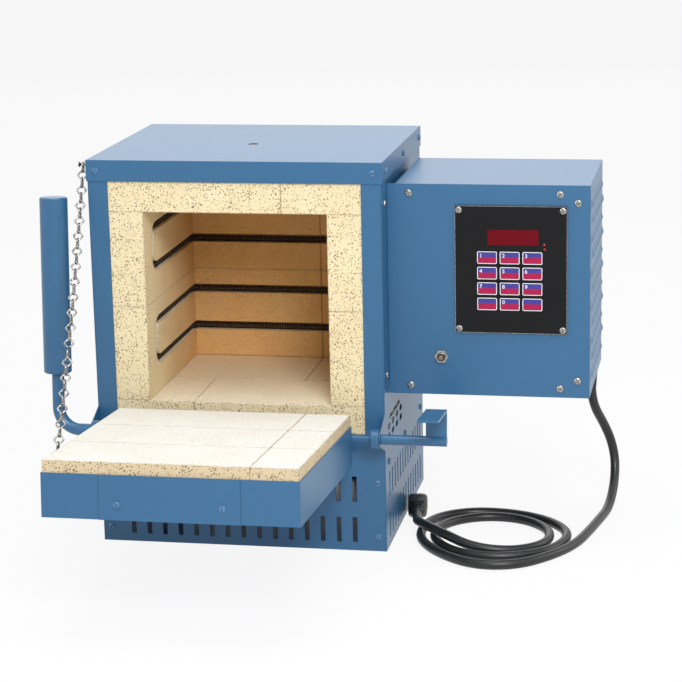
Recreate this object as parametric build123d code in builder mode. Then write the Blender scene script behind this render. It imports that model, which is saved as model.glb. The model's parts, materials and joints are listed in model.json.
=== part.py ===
from build123d import *
import math
import os

# Bench-top dental burnout furnace, drop-down door open on its chain.
# Millimetres. Origin: centre of the cabinet's footprint, on its underside.
# +X to the right seen from the front, +Y to the back, +Z up.

# Sheet metal
sheet = 1.2
fit_gap = 0.1
cab_w = 355.6
cab_d = 294.7
cab_h = 472.8
lip_h = 25.4
post_w = 24.1
skirt_h = 145.6
flange = 18.0

# Brickwork
brick_l = 228.6
brick_t = 61.0
brick_edge = 0.8
brick_gap = 0.25
chamber_w = 221.6
chamber_d = 228.6
floor_z = 179.3

# Element grooves and coils
groove_h = 10.7
groove_deep = 13.0
groove_bend = 14.0
groove_front_y = -104.5
row_low_share = 0.3486
row_pitch_share = 0.4247
coil_d = 8.0
coil_lift = 0.3
coil_corner = 14.0
terminal_y = -70.0
terminal_d = 6.0
terminal_out = 30.0
bushing_d = 12.0
bushing_out = 20.0
bore_play = 0.2
probe_d = 8.0
probe_y = 45.0
probe_in = 14.0
probe_head_w = 26.0
probe_head_h = 18.0
probe_head_l = 12.0

# Base slots, side vents and the vent through the roof
slot_w = 5.8
slot_h = 31.6
slot_pitch = 19.7
slot_count = 15
side_slot_count = 13
slot_low_z = 26.0
slot_high_z = 77.0
vent_d = 12.7
vent_x = -4.0
vent_from_seam = 15.15
wire_slot_w = 77.0
wire_slot_h = 5.0
wire_slot_z = 159.0
wire_slot_y = -77.5
hole_w = 17.0
hole_h = 7.2
hole_pitch_y = 28.7
hole_pitch_z = 12.0
hole_mid_y = -74.2
hole_mid_z = 142.6

# Control box
box_gap = 9.9
box_right = 415.2
box_h = 254.0
box_z0 = 188.4
box_front_y = -110.0
box_back_y = 78.3
plate_t = 1.5
box_flange = 21.0
spacer_w = 12.0
plate_screw_edge = 10.8
plate_screw_in = 20.8
plate_screw_side = 14.0
plate_screw_far = 34.7
plate_screw_near = 25.8
mount_screw_y = -126.0
mount_screw_low = 26.6
mount_screw_high = 20.7
louvre_w = 13.0
louvre_h = 7.0
louvre_out = 2.4
louvre_slant = 35
louvre_rows = 11
louvre_cols = 6
louvre_pitch = 20.4
louvre_pitch_y = 27.0

# Controller
face_w = 131.6
face_h = 152.0
face_t = 3.0
face_x = 323.0
face_z = 341.8
face_screw_dx = 122.0
face_screw_dz = 142.0
window_w = 60.0
window_h = 18.4
window_x = 325.5
window_z = 380.6
window_t = 2.0
key_w = 24.2
key_h = 15.8
key_proud = 0.5
key_t = 2.6
key_play = 0.25
key_pitch_x = 26.6
key_pitch_z = 18.5
key_mid_x = 321.7
key_mid_z = 328.7
board_t = 1.6
board_gap = 9.0
post_d = 6.0

# Reset breaker and the parts inside the box
breaker_x = 240.0
breaker_z = 235.3
breaker_body = 26.0
breaker_deep = 34.0
bushing_thread_d = 9.4
bushing_reach = 7.5
nut_flats = 14.3
nut_t = 3.0
button_d = 6.4
button_play = 0.05
button_proud = 3.0
button_in = 10.0
transformer_w = 64.0
transformer_d = 52.0
transformer_h = 54.0
relay_w = 50.0
relay_d = 38.0
relay_h = 62.0
tab_t = 0.8
tab_w = 6.3
tab_l = 8.0

# Screws
head_d = 8.0
head_h = 2.2
shank_d = 3.4
shank_l = 7.0
shank_short = 2.4
shank_mid = 4.4
shank_play = 0.1
steel_head_d = 8.6
frame_screw_low = 18.5
frame_screw_high = 85.5
lid_screw_y = (-122.0, 8.0, 134.0)
base_screw_y = (-121.0, 0.0, 125.0)
base_screw_drop = 12.3

# Door and hinge
door_w = 284.2
door_l = 294.6
pan_deep = 49.2
brick_proud = 13.8
door_tilt = 4.6
hinge_z = 148.8
face_up = 29.1
seal_gap = 0.4
shaft_d = 7.94
shaft_play = 0.06
pan_back = 4.2
front_flap_w = 155.0
flap_screw_x = 58.0
flap_screw_up = 17.0
collar_d = 23.6
collar_w = 10.2
ear_r = 10.5
ear_base_h = 46.0
side_gap = 0.3
arm_d = 14.7
arm_x = 217.8
arm_bend = 27.0
arm_grip = 16.0
tube_d = 33.4
tube_low = 69.3
tube_l = 211.5
lever_sleeve_d = 11.9
lever_x0 = 229.8
lever_w = 24.7
lever_rise = 38.0
lever_reach = 68.0
lever_t = 3.0

# Chain: nineteen twisted links and an end ring
wire_d = 2.2
link_count = 19
upper_links = 12
link_clear = 0.25
open_gap = 0.5
loop_w = 8.7
loop_corner = 0.42
chain_top_x = -187.0
chain_top_y = -126.0
chain_top_drop = 8.8
chain_pin_along = 224.0
chain_pin_up = 8.0
chain_pin_out = 7.0
chain_sag = 12.0

# Mains cord
cord_d = 11.6
cord_sides = 8
cross_gap = 2.0
gland_x = 404.0
gland_y = 66.0
gland_d = 18.0
gland_l = 20.0
gland_wall = 2.0
gland_neck = 1.0
gland_nose = 6.0
plug_w = 25.0
plug_l = 44.0
plug_rear = 14.0
blade_w = 6.3
blade_t = 1.5
blade_l = 17.0
blade_pitch = 12.7
pin_d = 4.8
pin_drop = 11.9

# Worked out from the sizes above
body_w = cab_w - 2 * (sheet + fit_gap)
body_d = cab_d - 2 * (sheet + fit_gap)
side_x = body_w / 2
front_y = -body_d / 2
back_y = body_d / 2
body_h = cab_h - sheet - fit_gap
face_y = front_y + sheet
core_w = chamber_w + 2 * brick_t
core_x = core_w / 2
seam_x = brick_l - core_x
chamber_x = chamber_w / 2
chamber_back = face_y + chamber_d
core_back = back_y - sheet - fit_gap
tray_z = floor_z - brick_t
base_flange_h = tray_z - flange - fit_gap
roof_z = cab_h - sheet - fit_gap - brick_t
course_h = (roof_z - floor_z) / 2
row_low = row_low_share * course_h
row_pitch = row_pitch_share * course_h
rows = [floor_z + row_low, floor_z + row_low + row_pitch]
rows = rows + [z + course_h for z in rows]
coil_x = chamber_x + groove_deep / 2
coil_y = chamber_back + groove_deep / 2
probe_z = floor_z + course_h + row_low / 5
vent_y = face_y + chamber_d / 2 + vent_from_seam
chain_top_z = cab_h - chain_top_drop
box_left = side_x + box_gap
box_z1 = box_z0 + box_h
box_mid_z = (box_z0 + box_z1) / 2
plate_back = box_front_y + plate_t
key_rows = 4
key_cols = 3
hinge_y = face_y - face_up - seal_gap
rim_up = face_up - brick_proud
pan_floor = rim_up - pan_deep
pan_front = pan_back + door_l
door_x = door_w / 2
tilt = math.radians(door_tilt)
lip_z = cab_h - lip_h / 2

os.makedirs("parts", exist_ok=True)


def save(piece, label):
    """Label one finished piece and write its STEP file."""
    piece.label = label
    export_step(piece, "parts/" + label + ".step")


def slots(plane, centres, width, height, deep):
    """Rectangular slots cut through the sheet of the part in hand."""
    with BuildSketch(plane) as cut:
        with Locations(*centres):
            Rectangle(width, height)
    extrude(cut.sketch, amount=-deep, mode=Mode.SUBTRACT)


def slot_grid(count):
    """Centres of two rows of upright slots on a wall of the base."""
    offsets = [(i - (count - 1) / 2) * slot_pitch for i in range(count)]
    return [(x, z) for z in (slot_low_z, slot_high_z) for x in offsets]


def round_holes(plane, centres, diameter, deep):
    """Round holes cut to a depth into the part in hand."""
    with BuildSketch(plane) as cut:
        with Locations(*centres):
            Circle(diameter / 2)
    extrude(cut.sketch, amount=-deep, mode=Mode.SUBTRACT)


# Planes of the outer faces, each with its local x to the right and y up
front_plane = Plane(origin=(0, front_y, 0), x_dir=(1, 0, 0), z_dir=(0, -1, 0))
back_plane = Plane(origin=(0, back_y, 0), x_dir=(-1, 0, 0), z_dir=(0, 1, 0))
right_plane = Plane(origin=(side_x, 0, 0), x_dir=(0, 1, 0), z_dir=(1, 0, 0))
left_plane = Plane(origin=(-side_x, 0, 0), x_dir=(0, -1, 0), z_dir=(-1, 0, 0))
lid_front = Plane(origin=(0, -cab_d / 2, 0), x_dir=(1, 0, 0), z_dir=(0, -1, 0))
lid_back = Plane(origin=(0, cab_d / 2, 0), x_dir=(-1, 0, 0), z_dir=(0, 1, 0))
lid_right = Plane(origin=(cab_w / 2, 0, 0), x_dir=(0, 1, 0), z_dir=(1, 0, 0))
lid_left = Plane(origin=(-cab_w / 2, 0, 0), x_dir=(0, -1, 0), z_dir=(-1, 0, 0))
box_plane = Plane(origin=(0, box_front_y, 0), x_dir=(1, 0, 0), z_dir=(0, -1, 0))
box_right_plane = Plane(origin=(box_right, 0, 0), x_dir=(0, 1, 0), z_dir=(1, 0, 0))

# Screw centres on each face, in that face's own plane
post_screw_x = side_x - flange / 2 - 1
lip_front_screws = [(-post_screw_x, lip_z), (post_screw_x, lip_z)]
lip_side_screws = [(y, lip_z) for y in lid_screw_y]
frame_screws = [(x, z) for x in (-post_screw_x, post_screw_x) for z in (frame_screw_low, frame_screw_high)]
base_side_screws = [(y, tray_z - base_screw_drop) for y in base_screw_y]
mount_screws = [(mount_screw_y, z) for z in (box_z0 + mount_screw_low, box_z1 - mount_screw_high)]
chain_screw = (-chain_top_y, chain_top_z)

# Cabinet sheets
with BuildPart() as bottom_pan:
    with BuildSketch(Plane.XY):
        Rectangle(body_w - 2 * sheet - 2 * fit_gap, body_d - 4 * sheet - 2 * fit_gap)
    extrude(amount=slot_low_z - slot_h / 2 - sheet)
    with BuildSketch(Plane.XY.offset(sheet)):
        Rectangle(body_w - 4 * sheet - 2 * fit_gap, body_d - 6 * sheet - 2 * fit_gap)
    extrude(amount=lip_h, mode=Mode.SUBTRACT)
save(bottom_pan.part, "bottom_pan")

with BuildPart() as front_frame:
    with BuildSketch(front_plane):
        with Locations((0, body_h / 2)):
            Rectangle(body_w - 2 * (sheet + fit_gap), body_h)
        with Locations((0, (skirt_h + body_h) / 2)):
            Rectangle(body_w - 2 * post_w, body_h - skirt_h, mode=Mode.SUBTRACT)
        with Locations(*slot_grid(slot_count)):
            Rectangle(slot_w, slot_h, mode=Mode.SUBTRACT)
        with Locations(*lip_front_screws, *frame_screws):
            Circle(shank_d / 2 + shank_play, mode=Mode.SUBTRACT)
    extrude(amount=-sheet)
save(front_frame.part, "front_frame")


def side_sheet(builder_plane, wired):
    """Outline of a side panel with the ear that carries the hinge shaft.

    The outline is drawn in the side's own plane, where x grows towards the
    back on the right panel and towards the front on the left one.
    """
    forward = 1 if wired else -1
    edge = forward * front_y
    rear = forward * (back_y - sheet)
    tip = forward * hinge_y
    with BuildSketch(builder_plane) as outline:
        with Locations(((edge + rear) / 2, body_h / 2)):
            Rectangle(abs(rear - edge), body_h)
        with BuildLine():
            Polyline(
                (edge + forward, hinge_z - ear_base_h / 2),
                (tip, hinge_z - ear_r),
                (tip, hinge_z + ear_r),
                (edge + forward, hinge_z + ear_base_h / 2),
                close=True,
            )
        make_face()
        with Locations((tip, hinge_z)):
            Circle(ear_r)
            Circle(shaft_d / 2 + shaft_play, mode=Mode.SUBTRACT)
        with Locations(*slot_grid(side_slot_count)):
            Rectangle(slot_w, slot_h, mode=Mode.SUBTRACT)
        screws = [(forward * y, z) for y, z in lip_side_screws + base_side_screws]
        if wired:
            screws = screws + mount_screws
        else:
            screws = [s for s in screws if s != (-lip_side_screws[0][0], lip_z)]
            screws = screws + [chain_screw]
        with Locations(*screws):
            Circle(shank_d / 2 + shank_play, mode=Mode.SUBTRACT)
    extrude(outline.sketch, amount=-sheet)


def post_flange(x_outer, y_outer, inward_x, inward_y):
    """A folded edge of a side panel's base, with holes for the screws that meet it."""
    inner = Plane(origin=(0, y_outer, 0), x_dir=(1, 0, 0), z_dir=(0, -1, 0))
    with BuildSketch(inner) as strip:
        with Locations((x_outer + inward_x * flange / 2, base_flange_h / 2)):
            Rectangle(flange, base_flange_h)
        with Locations(*[(x, z) for x, z in frame_screws if x * inward_x < 0]):
            Circle(shank_d / 2 + shank_play, mode=Mode.SUBTRACT)
    extrude(strip.sketch, amount=-inward_y * sheet)


with BuildPart() as side_panel_right:
    side_sheet(right_plane, True)
    post_flange(side_x, front_y + sheet, -1, 1)
    post_flange(side_x, back_y - sheet, -1, -1)
    slots(right_plane, [(wire_slot_y, wire_slot_z)], wire_slot_w, wire_slot_h, sheet)
    with BuildSketch(right_plane):
        with Locations((hole_mid_y, hole_mid_z)):
            with GridLocations(hole_pitch_y, hole_pitch_z, 4, 2):
                SlotOverall(hole_w, hole_h)
    extrude(amount=-sheet, mode=Mode.SUBTRACT)
    round_holes(right_plane, [(terminal_y, z) for z in rows], bushing_d + 2 * bore_play, sheet)
    round_holes(right_plane, [(probe_y, probe_z)], probe_d + 2 * bore_play, sheet)
save(side_panel_right.part, "side_panel_right")

with BuildPart() as side_panel_left:
    side_sheet(left_plane, False)
    post_flange(-side_x, front_y + sheet, 1, 1)
    post_flange(-side_x, back_y - sheet, 1, -1)
save(side_panel_left.part, "side_panel_left")

with BuildPart() as back_panel:
    with BuildSketch(back_plane):
        with Locations((0, body_h / 2)):
            Rectangle(body_w, body_h)
        with Locations(*slot_grid(slot_count)):
            Rectangle(slot_w, slot_h, mode=Mode.SUBTRACT)
        with Locations(*lip_front_screws, *frame_screws):
            Circle(shank_d / 2 + shank_play, mode=Mode.SUBTRACT)
    extrude(amount=-sheet)
save(back_panel.part, "back_panel")

with BuildPart() as lid:
    with BuildSketch(Plane.XY.offset(cab_h)):
        Rectangle(cab_w, cab_d)
    extrude(amount=-lip_h)
    with BuildSketch(Plane.XY.offset(cab_h - sheet)):
        Rectangle(cab_w - 2 * sheet, cab_d - 2 * sheet)
    extrude(amount=-lip_h, mode=Mode.SUBTRACT)
    fillet(lid.edges().group_by(Axis.Z)[-1], radius=sheet / 2)
    round_holes(Plane.XY.offset(cab_h), [(vent_x, vent_y)], vent_d, sheet)
    lid_hole = shank_d + 2 * shank_play
    round_holes(lid_front, lip_front_screws, lid_hole, sheet)
    round_holes(lid_back, lip_front_screws, lid_hole, sheet)
    round_holes(lid_right, lip_side_screws, lid_hole, sheet)
    round_holes(lid_left, [(-y, z) for y, z in lip_side_screws[1:]] + [chain_screw], lid_hole, sheet)
save(lid.part, "lid")

with BuildPart() as brick_tray:
    tray_w = body_w - 2 * sheet - 2 * fit_gap
    tray_d = body_d - 2 * sheet - 2 * fit_gap
    with BuildSketch(Plane.XY.offset(tray_z)):
        Rectangle(tray_w, tray_d)
    extrude(amount=-flange)
    with BuildSketch(Plane.XY.offset(tray_z - sheet)):
        Rectangle(tray_w - 2 * sheet, tray_d)
    extrude(amount=-flange, mode=Mode.SUBTRACT)
    for side in (right_plane, left_plane):
        along = 1 if side is right_plane else -1
        tapped = [(along * y, z) for y, z in base_side_screws]
        round_holes(side, tapped, shank_d + 2 * shank_play, 3 * sheet)
save(brick_tray.part, "brick_tray")


def brick(x0, x1, y0, y1, z0, z1):
    """One firebrick with dressed edges, a joint's width inside its bounds."""
    g = brick_gap / 2
    solid = Box(x1 - x0 - 2 * g, y1 - y0 - 2 * g, z1 - z0, mode=Mode.PRIVATE)
    solid = solid.chamfer(brick_edge, None, solid.edges())
    with Locations(((x0 + x1) / 2, (y0 + y1) / 2, (z0 + z1) / 2)):
        add(solid)


row_1 = face_y
row_2 = face_y + chamber_d / 2
row_3 = chamber_back
core_x0 = -core_x
core_x1 = core_x
roof_top = roof_z + brick_t
mid_z = floor_z + course_h

with BuildPart() as floor_bricks_long:
    brick(-seam_x, core_x1, row_1, row_2, tray_z, floor_z)
    brick(core_x0, seam_x, row_2, row_3, tray_z, floor_z)
save(floor_bricks_long.part, "floor_bricks_long")

with BuildPart() as floor_bricks_short:
    brick(core_x0, -seam_x, row_1, row_2, tray_z, floor_z)
    brick(seam_x, core_x1, row_2, row_3, tray_z, floor_z)
save(floor_bricks_short.part, "floor_bricks_short")

back_courses = [(tray_z, floor_z), (floor_z, mid_z), (mid_z, roof_z)]


def back_grooves():
    """Element grooves across the hot face of the back wall."""
    hot_face = Plane(origin=(0, chamber_back, 0), x_dir=(1, 0, 0), z_dir=(0, -1, 0))
    span = chamber_w + 2 * groove_deep
    slots(hot_face, [(0, z) for z in rows], span, groove_h, groove_deep)


with BuildPart() as back_bricks_long:
    for low, high in back_courses:
        brick(core_x0, seam_x, row_3, core_back, low, high)
    back_grooves()
save(back_bricks_long.part, "back_bricks_long")

with BuildPart() as back_bricks_short:
    for low, high in back_courses:
        brick(seam_x, core_x1, row_3, core_back, low, high)
    back_grooves()
save(back_bricks_short.part, "back_bricks_short")

with BuildPart() as roof_bricks_long:
    brick(core_x0, seam_x, row_1, row_2, roof_z, roof_top)
    brick(-seam_x, core_x1, row_2, row_3, roof_z, roof_top)
    brick(core_x0, seam_x, row_3, core_back, roof_z, roof_top)
    round_holes(Plane.XY.offset(roof_top), [(vent_x, vent_y)], vent_d, brick_t)
save(roof_bricks_long.part, "roof_bricks_long")

with BuildPart() as roof_bricks_short:
    brick(seam_x, core_x1, row_1, row_2, roof_z, roof_top)
    brick(core_x0, -seam_x, row_2, row_3, roof_z, roof_top)
    brick(seam_x, core_x1, row_3, core_back, roof_z, roof_top)
save(roof_bricks_short.part, "roof_bricks_short")


def bent_groove(side, low, high):
    """The hairpin groove of a left wall brick, open at the back."""
    wall = Plane(origin=(side * chamber_x, 0, 0), x_dir=(0, -side, 0), z_dir=(-side, 0, 0))
    reach = chamber_back + groove_h - groove_front_y
    centre = (-side * (groove_front_y + reach / 2), (low + high) / 2)
    with BuildSketch(wall) as hairpin:
        with Locations(centre):
            RectangleRounded(reach + groove_h, high - low + groove_h, groove_bend + groove_h / 2)
            RectangleRounded(
                reach - groove_h, high - low - groove_h, groove_bend - groove_h / 2, mode=Mode.SUBTRACT
            )
    extrude(hairpin.sketch, amount=-groove_deep, mode=Mode.SUBTRACT)


def straight_grooves(low, high):
    """The two grooves of a right wall brick, and the holes for its terminals."""
    wall = Plane(origin=(chamber_x, 0, 0), x_dir=(0, -1, 0), z_dir=(-1, 0, 0))
    front = terminal_y - bushing_d / 2 - bore_play
    centre_y = (chamber_back + front) / 2
    slots(wall, [(-centre_y, z) for z in (low, high)], chamber_back - front, groove_h, groove_deep)
    holes = [(-terminal_y, z) for z in (low, high)]
    round_holes(wall, holes, bushing_d + 2 * bore_play, brick_t)


for level, (low, high) in (("lower", (floor_z, mid_z)), ("upper", (mid_z, roof_z))):
    grooves = [z for z in rows if low < z < high]
    with BuildPart() as side_brick_left:
        brick(core_x0, -chamber_x, row_1, row_3, low, high)
        bent_groove(-1, *grooves)
    save(side_brick_left.part, "side_brick_left_" + level)
    with BuildPart() as side_brick_right:
        brick(chamber_x, core_x1, row_1, row_3, low, high)
        straight_grooves(*grooves)
        if low < probe_z < high:
            probe_plane = Plane(origin=(core_x, 0, 0), x_dir=(0, 1, 0), z_dir=(1, 0, 0))
            round_holes(probe_plane, [(probe_y, probe_z)], probe_d + 2 * bore_play, brick_t)
    save(side_brick_right.part, "side_brick_right_" + level)

# Heating elements: the outer form of each coil, lying in its groove
seat_drop = groove_h / 2 - coil_d / 2 - coil_lift
for level, (low, high) in (("lower", rows[0:2]), ("upper", rows[2:4])):
    low = low - seat_drop
    high = high - seat_drop
    with BuildPart() as element:
        with BuildLine() as run:
            FilletPolyline(
                (coil_x, terminal_y, high),
                (coil_x, coil_y, high),
                (-coil_x, coil_y, high),
                (-coil_x, groove_front_y, high),
                (-coil_x, groove_front_y, low),
                (-coil_x, coil_y, low),
                (coil_x, coil_y, low),
                (coil_x, terminal_y, low),
                radius=coil_corner,
            )
        with BuildSketch(Plane(run.line @ 0, z_dir=run.line % 0)):
            RegularPolygon(coil_d / 2, 8)
        sweep()
    save(element.part, "element_" + level)

terminal_plane = Plane(origin=(coil_x + coil_d / 2 + coil_lift, 0, 0), x_dir=(0, 1, 0), z_dir=(1, 0, 0))
terminal_spots = [(terminal_y, z) for z in rows]
terminal_l = box_left + terminal_out - coil_x - coil_d / 2 - coil_lift
with BuildPart() as element_terminals:
    with BuildSketch(terminal_plane):
        with Locations(*terminal_spots):
            Circle(terminal_d / 2)
    extrude(amount=terminal_l)
save(element_terminals.part, "element_terminals")

bushing_plane = Plane(origin=(chamber_x + groove_deep + coil_lift, 0, 0), x_dir=(0, 1, 0), z_dir=(1, 0, 0))
with BuildPart() as terminal_bushings:
    with BuildSketch(bushing_plane):
        with Locations(*terminal_spots):
            Circle(bushing_d / 2)
            Circle(terminal_d / 2 + bore_play, mode=Mode.SUBTRACT)
    extrude(amount=box_left + bushing_out - chamber_x - groove_deep - coil_lift)
save(terminal_bushings.part, "terminal_bushings")

probe_plane = Plane(origin=(chamber_x - probe_in, 0, 0), x_dir=(0, 1, 0), z_dir=(1, 0, 0))
with BuildPart() as thermocouple:
    with BuildSketch(probe_plane):
        with Locations((probe_y, probe_z)):
            Circle(probe_d / 2)
    extrude(amount=box_left + bushing_out - chamber_x + probe_in)
    chamfer(thermocouple.edges().group_by(Axis.X)[0], length=probe_d / 5)
    with BuildSketch(probe_plane.offset(box_left + sheet + fit_gap - chamber_x + probe_in)):
        with Locations((probe_y, probe_z)):
            Rectangle(probe_head_w, probe_head_h)
    extrude(amount=probe_head_l)
save(thermocouple.part, "thermocouple")

# Control box
near_x = side_x + side_gap + plate_screw_near
far_x = box_right - plate_screw_far
end_x = box_right - plate_screw_side
plate_screws = [(x, z) for x in (near_x, far_x) for z in (box_z0 + plate_screw_edge, box_z1 - plate_screw_edge)]
plate_screws = plate_screws + [(end_x, z) for z in (box_z0 + plate_screw_in, box_z1 - plate_screw_in)]
face_screws = [
    (face_x + i * face_screw_dx / 2, face_z + j * face_screw_dz / 2) for i in (-1, 1) for j in (-1, 1)
]
steel_hole = shank_d + 2 * shank_play
shell_y0 = plate_back
box_w = box_right - box_left
box_mid_x = (box_left + box_right) / 2
box_mid_y = (shell_y0 + box_back_y) / 2
louvres = []
for i in range(louvre_rows):
    for j in range(louvre_cols):
        across = j - (louvre_cols - 1) / 2 + (i % 2) / 2 - 0.25
        up = i - (louvre_rows - 1) / 2
        louvres.append((box_mid_y + across * louvre_pitch_y, box_mid_z + up * louvre_pitch))

with BuildPart() as control_shell:
    with Locations((box_mid_x, box_mid_y, box_mid_z)):
        Box(box_w, box_back_y - shell_y0, box_h)
        Box(box_w - 2 * sheet, box_back_y - shell_y0 - 2 * sheet, box_h - 2 * sheet, mode=Mode.SUBTRACT)
    with BuildSketch(Plane(origin=(0, shell_y0, 0), x_dir=(1, 0, 0), z_dir=(0, -1, 0))):
        with Locations((box_mid_x, box_mid_z)):
            Rectangle(box_w - 2 * box_flange, box_h - 2 * box_flange)
        with Locations(*plate_screws):
            Circle(steel_hole / 2)
    extrude(amount=-sheet, mode=Mode.SUBTRACT)
    with BuildSketch(box_right_plane):
        with Locations(*louvres):
            Rectangle(louvre_w, louvre_h)
    extrude(amount=louvre_out, taper=louvre_slant)
    left_face = Plane(origin=(box_left, 0, 0), x_dir=(0, -1, 0), z_dir=(-1, 0, 0))
    round_holes(left_face, [(-terminal_y, z) for z in rows], bushing_d + 2 * bore_play, sheet)
    round_holes(left_face, [(-probe_y, probe_z)], probe_d + 2 * bore_play, sheet)
    round_holes(Plane.XY.offset(box_z0 + sheet), [(gland_x, gland_y)], gland_d - 2 * gland_wall, sheet)
save(control_shell.part, "control_shell")

with BuildPart() as control_front_plate:
    plate_x0 = side_x + side_gap
    with BuildSketch(box_plane):
        with Locations(((plate_x0 + box_right) / 2, box_mid_z)):
            Rectangle(box_right - plate_x0, box_h)
        with Locations((face_x, face_z)):
            Rectangle(face_screw_dx - 2 * head_d, face_screw_dz - 2 * head_d, mode=Mode.SUBTRACT)
        with Locations((breaker_x, breaker_z)):
            Circle(bushing_thread_d / 2 + shank_play, mode=Mode.SUBTRACT)
        with Locations(*plate_screws, *face_screws):
            Circle(steel_hole / 2, mode=Mode.SUBTRACT)
    extrude(amount=-plate_t)
save(control_front_plate.part, "control_front_plate")

with BuildPart() as control_spacers:
    with BuildSketch(Plane.XY.offset(box_z0 + spacer_w)):
        with Locations((side_x + box_gap / 2, box_mid_y)):
            with GridLocations(0, box_back_y - shell_y0 - 3 * spacer_w, 1, 2):
                Rectangle(box_gap, spacer_w)
    extrude(amount=box_h - 2 * spacer_w)
save(control_spacers.part, "control_spacers")

# Controller face, window, keys and circuit board
key_spots = [
    (key_mid_x + (c - (key_cols - 1) / 2) * key_pitch_x, key_mid_z - (r - (key_rows - 1) / 2) * key_pitch_z)
    for r in range(key_rows)
    for c in range(key_cols)
]
key_names = ["1", "2", "3", "4", "5", "6", "7", "8", "9", "left", "0", "right"]

with BuildPart() as controller_face:
    with BuildSketch(box_plane):
        with Locations((face_x, face_z)):
            Rectangle(face_w, face_h)
        with Locations((window_x, window_z)):
            Rectangle(window_w, window_h, mode=Mode.SUBTRACT)
        with Locations(*key_spots):
            Rectangle(key_w + 2 * key_play, key_h + 2 * key_play, mode=Mode.SUBTRACT)
        with Locations(*face_screws):
            Circle(steel_hole / 2, mode=Mode.SUBTRACT)
    extrude(amount=face_t)
    chamfer(controller_face.faces().sort_by(Axis.Y)[0].outer_wire().edges(), length=face_t / 5)
save(controller_face.part, "controller_face")

with BuildPart() as display_window:
    with BuildSketch(box_plane.offset(face_t - fit_gap)):
        with Locations((window_x, window_z)):
            Rectangle(window_w - fit_gap, window_h - fit_gap)
    extrude(amount=-window_t)
save(display_window.part, "display_window")

for spot, key_name in zip(key_spots, key_names):
    with BuildPart() as key:
        with BuildSketch(box_plane.offset(face_t + key_proud)):
            with Locations(spot):
                Rectangle(key_w, key_h)
        extrude(amount=-key_t)
        chamfer(key.faces().sort_by(Axis.Y)[0].edges(), length=key_proud / 2)
    save(key.part, "key_" + key_name)

board_front = plate_back + board_gap
with BuildPart() as circuit_board:
    board_w = face_screw_dx - 2 * head_d
    board_h = face_screw_dz - 2 * head_d
    board_plane = Plane(origin=(0, board_front, 0), x_dir=(1, 0, 0), z_dir=(0, -1, 0))
    with BuildSketch(board_plane):
        with Locations((face_x, face_z)):
            Rectangle(board_w + 4 * post_d, board_h)
    extrude(amount=-board_t)
    with BuildSketch(board_plane):
        with Locations((face_x, face_z)):
            with GridLocations(board_w + 2 * post_d, board_h - 2 * post_d, 2, 2):
                Circle(post_d / 2)
    extrude(amount=board_gap)
    with BuildSketch(board_plane.offset(-board_t)):
        with Locations((face_x, face_z - board_h / 4)):
            Rectangle(board_w / 3, board_w / 3)
        with Locations((face_x, face_z + board_h / 3)):
            Rectangle(board_w / 2, board_w / 6)
    extrude(amount=-board_gap)
save(circuit_board.part, "circuit_board")

# Reset breaker
breaker_plane = Plane(origin=(0, plate_back, 0), x_dir=(1, 0, 0), z_dir=(0, -1, 0))
with BuildPart() as reset_breaker:
    with BuildSketch(breaker_plane):
        with Locations((breaker_x, breaker_z)):
            Rectangle(breaker_body, breaker_body)
    extrude(amount=-breaker_deep)
    with BuildSketch(breaker_plane):
        with Locations((breaker_x, breaker_z)):
            Circle(bushing_thread_d / 2)
    extrude(amount=plate_t + bushing_reach)
    with BuildSketch(box_plane.offset(bushing_reach)):
        with Locations((breaker_x, breaker_z)):
            Circle(button_d / 2 + button_play)
    extrude(amount=-bushing_reach - plate_t - button_in, mode=Mode.SUBTRACT)
    with BuildSketch(breaker_plane.offset(-breaker_deep)):
        with Locations((breaker_x, breaker_z)):
            with GridLocations(breaker_body / 2, 0, 2, 1):
                Rectangle(tab_t, tab_w)
    extrude(amount=-tab_l)
save(reset_breaker.part, "reset_breaker")

with BuildPart() as breaker_nut:
    with BuildSketch(box_plane):
        with Locations((breaker_x, breaker_z)):
            RegularPolygon(nut_flats / 2, 6, major_radius=False)
            Circle(bushing_thread_d / 2 + fit_gap, mode=Mode.SUBTRACT)
    extrude(amount=nut_t)
save(breaker_nut.part, "breaker_nut")

with BuildPart() as breaker_button:
    with BuildSketch(box_plane.offset(bushing_reach + button_proud)):
        with Locations((breaker_x, breaker_z)):
            Circle(button_d / 2)
    extrude(amount=-bushing_reach - button_proud - plate_t - button_in / 2)
    chamfer(breaker_button.edges().group_by(Axis.Y)[0], length=button_d / 12)
save(breaker_button.part, "breaker_button")

# Parts on the floor of the control box
box_floor = box_z0 + sheet
with BuildPart() as transformer:
    with Locations((box_left + box_w / 2, box_back_y - transformer_d, box_floor + transformer_h / 2)):
        Box(transformer_w / 2, transformer_d, transformer_h)
        Box(transformer_w, transformer_d / 2, transformer_h / 2)
    with BuildSketch(Plane.XY.offset(box_floor)):
        with Locations((box_left + box_w / 2, box_back_y - transformer_d)):
            Rectangle(transformer_w * 1.3, transformer_d / 2)
    extrude(amount=2 * sheet)
save(transformer.part, "transformer")

with BuildPart() as power_relay:
    with Locations((box_left + relay_w * 0.7, box_back_y - relay_d, box_floor + relay_h / 2)):
        Box(relay_w, relay_d, relay_h)
    with BuildSketch(Plane.XY.offset(box_floor + relay_h)):
        with Locations((box_left + relay_w * 0.7, box_back_y - relay_d)):
            with GridLocations(relay_w / 3, relay_d / 2, 3, 2):
                Rectangle(tab_t, tab_w)
    extrude(amount=tab_l)
save(power_relay.part, "power_relay")


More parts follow.
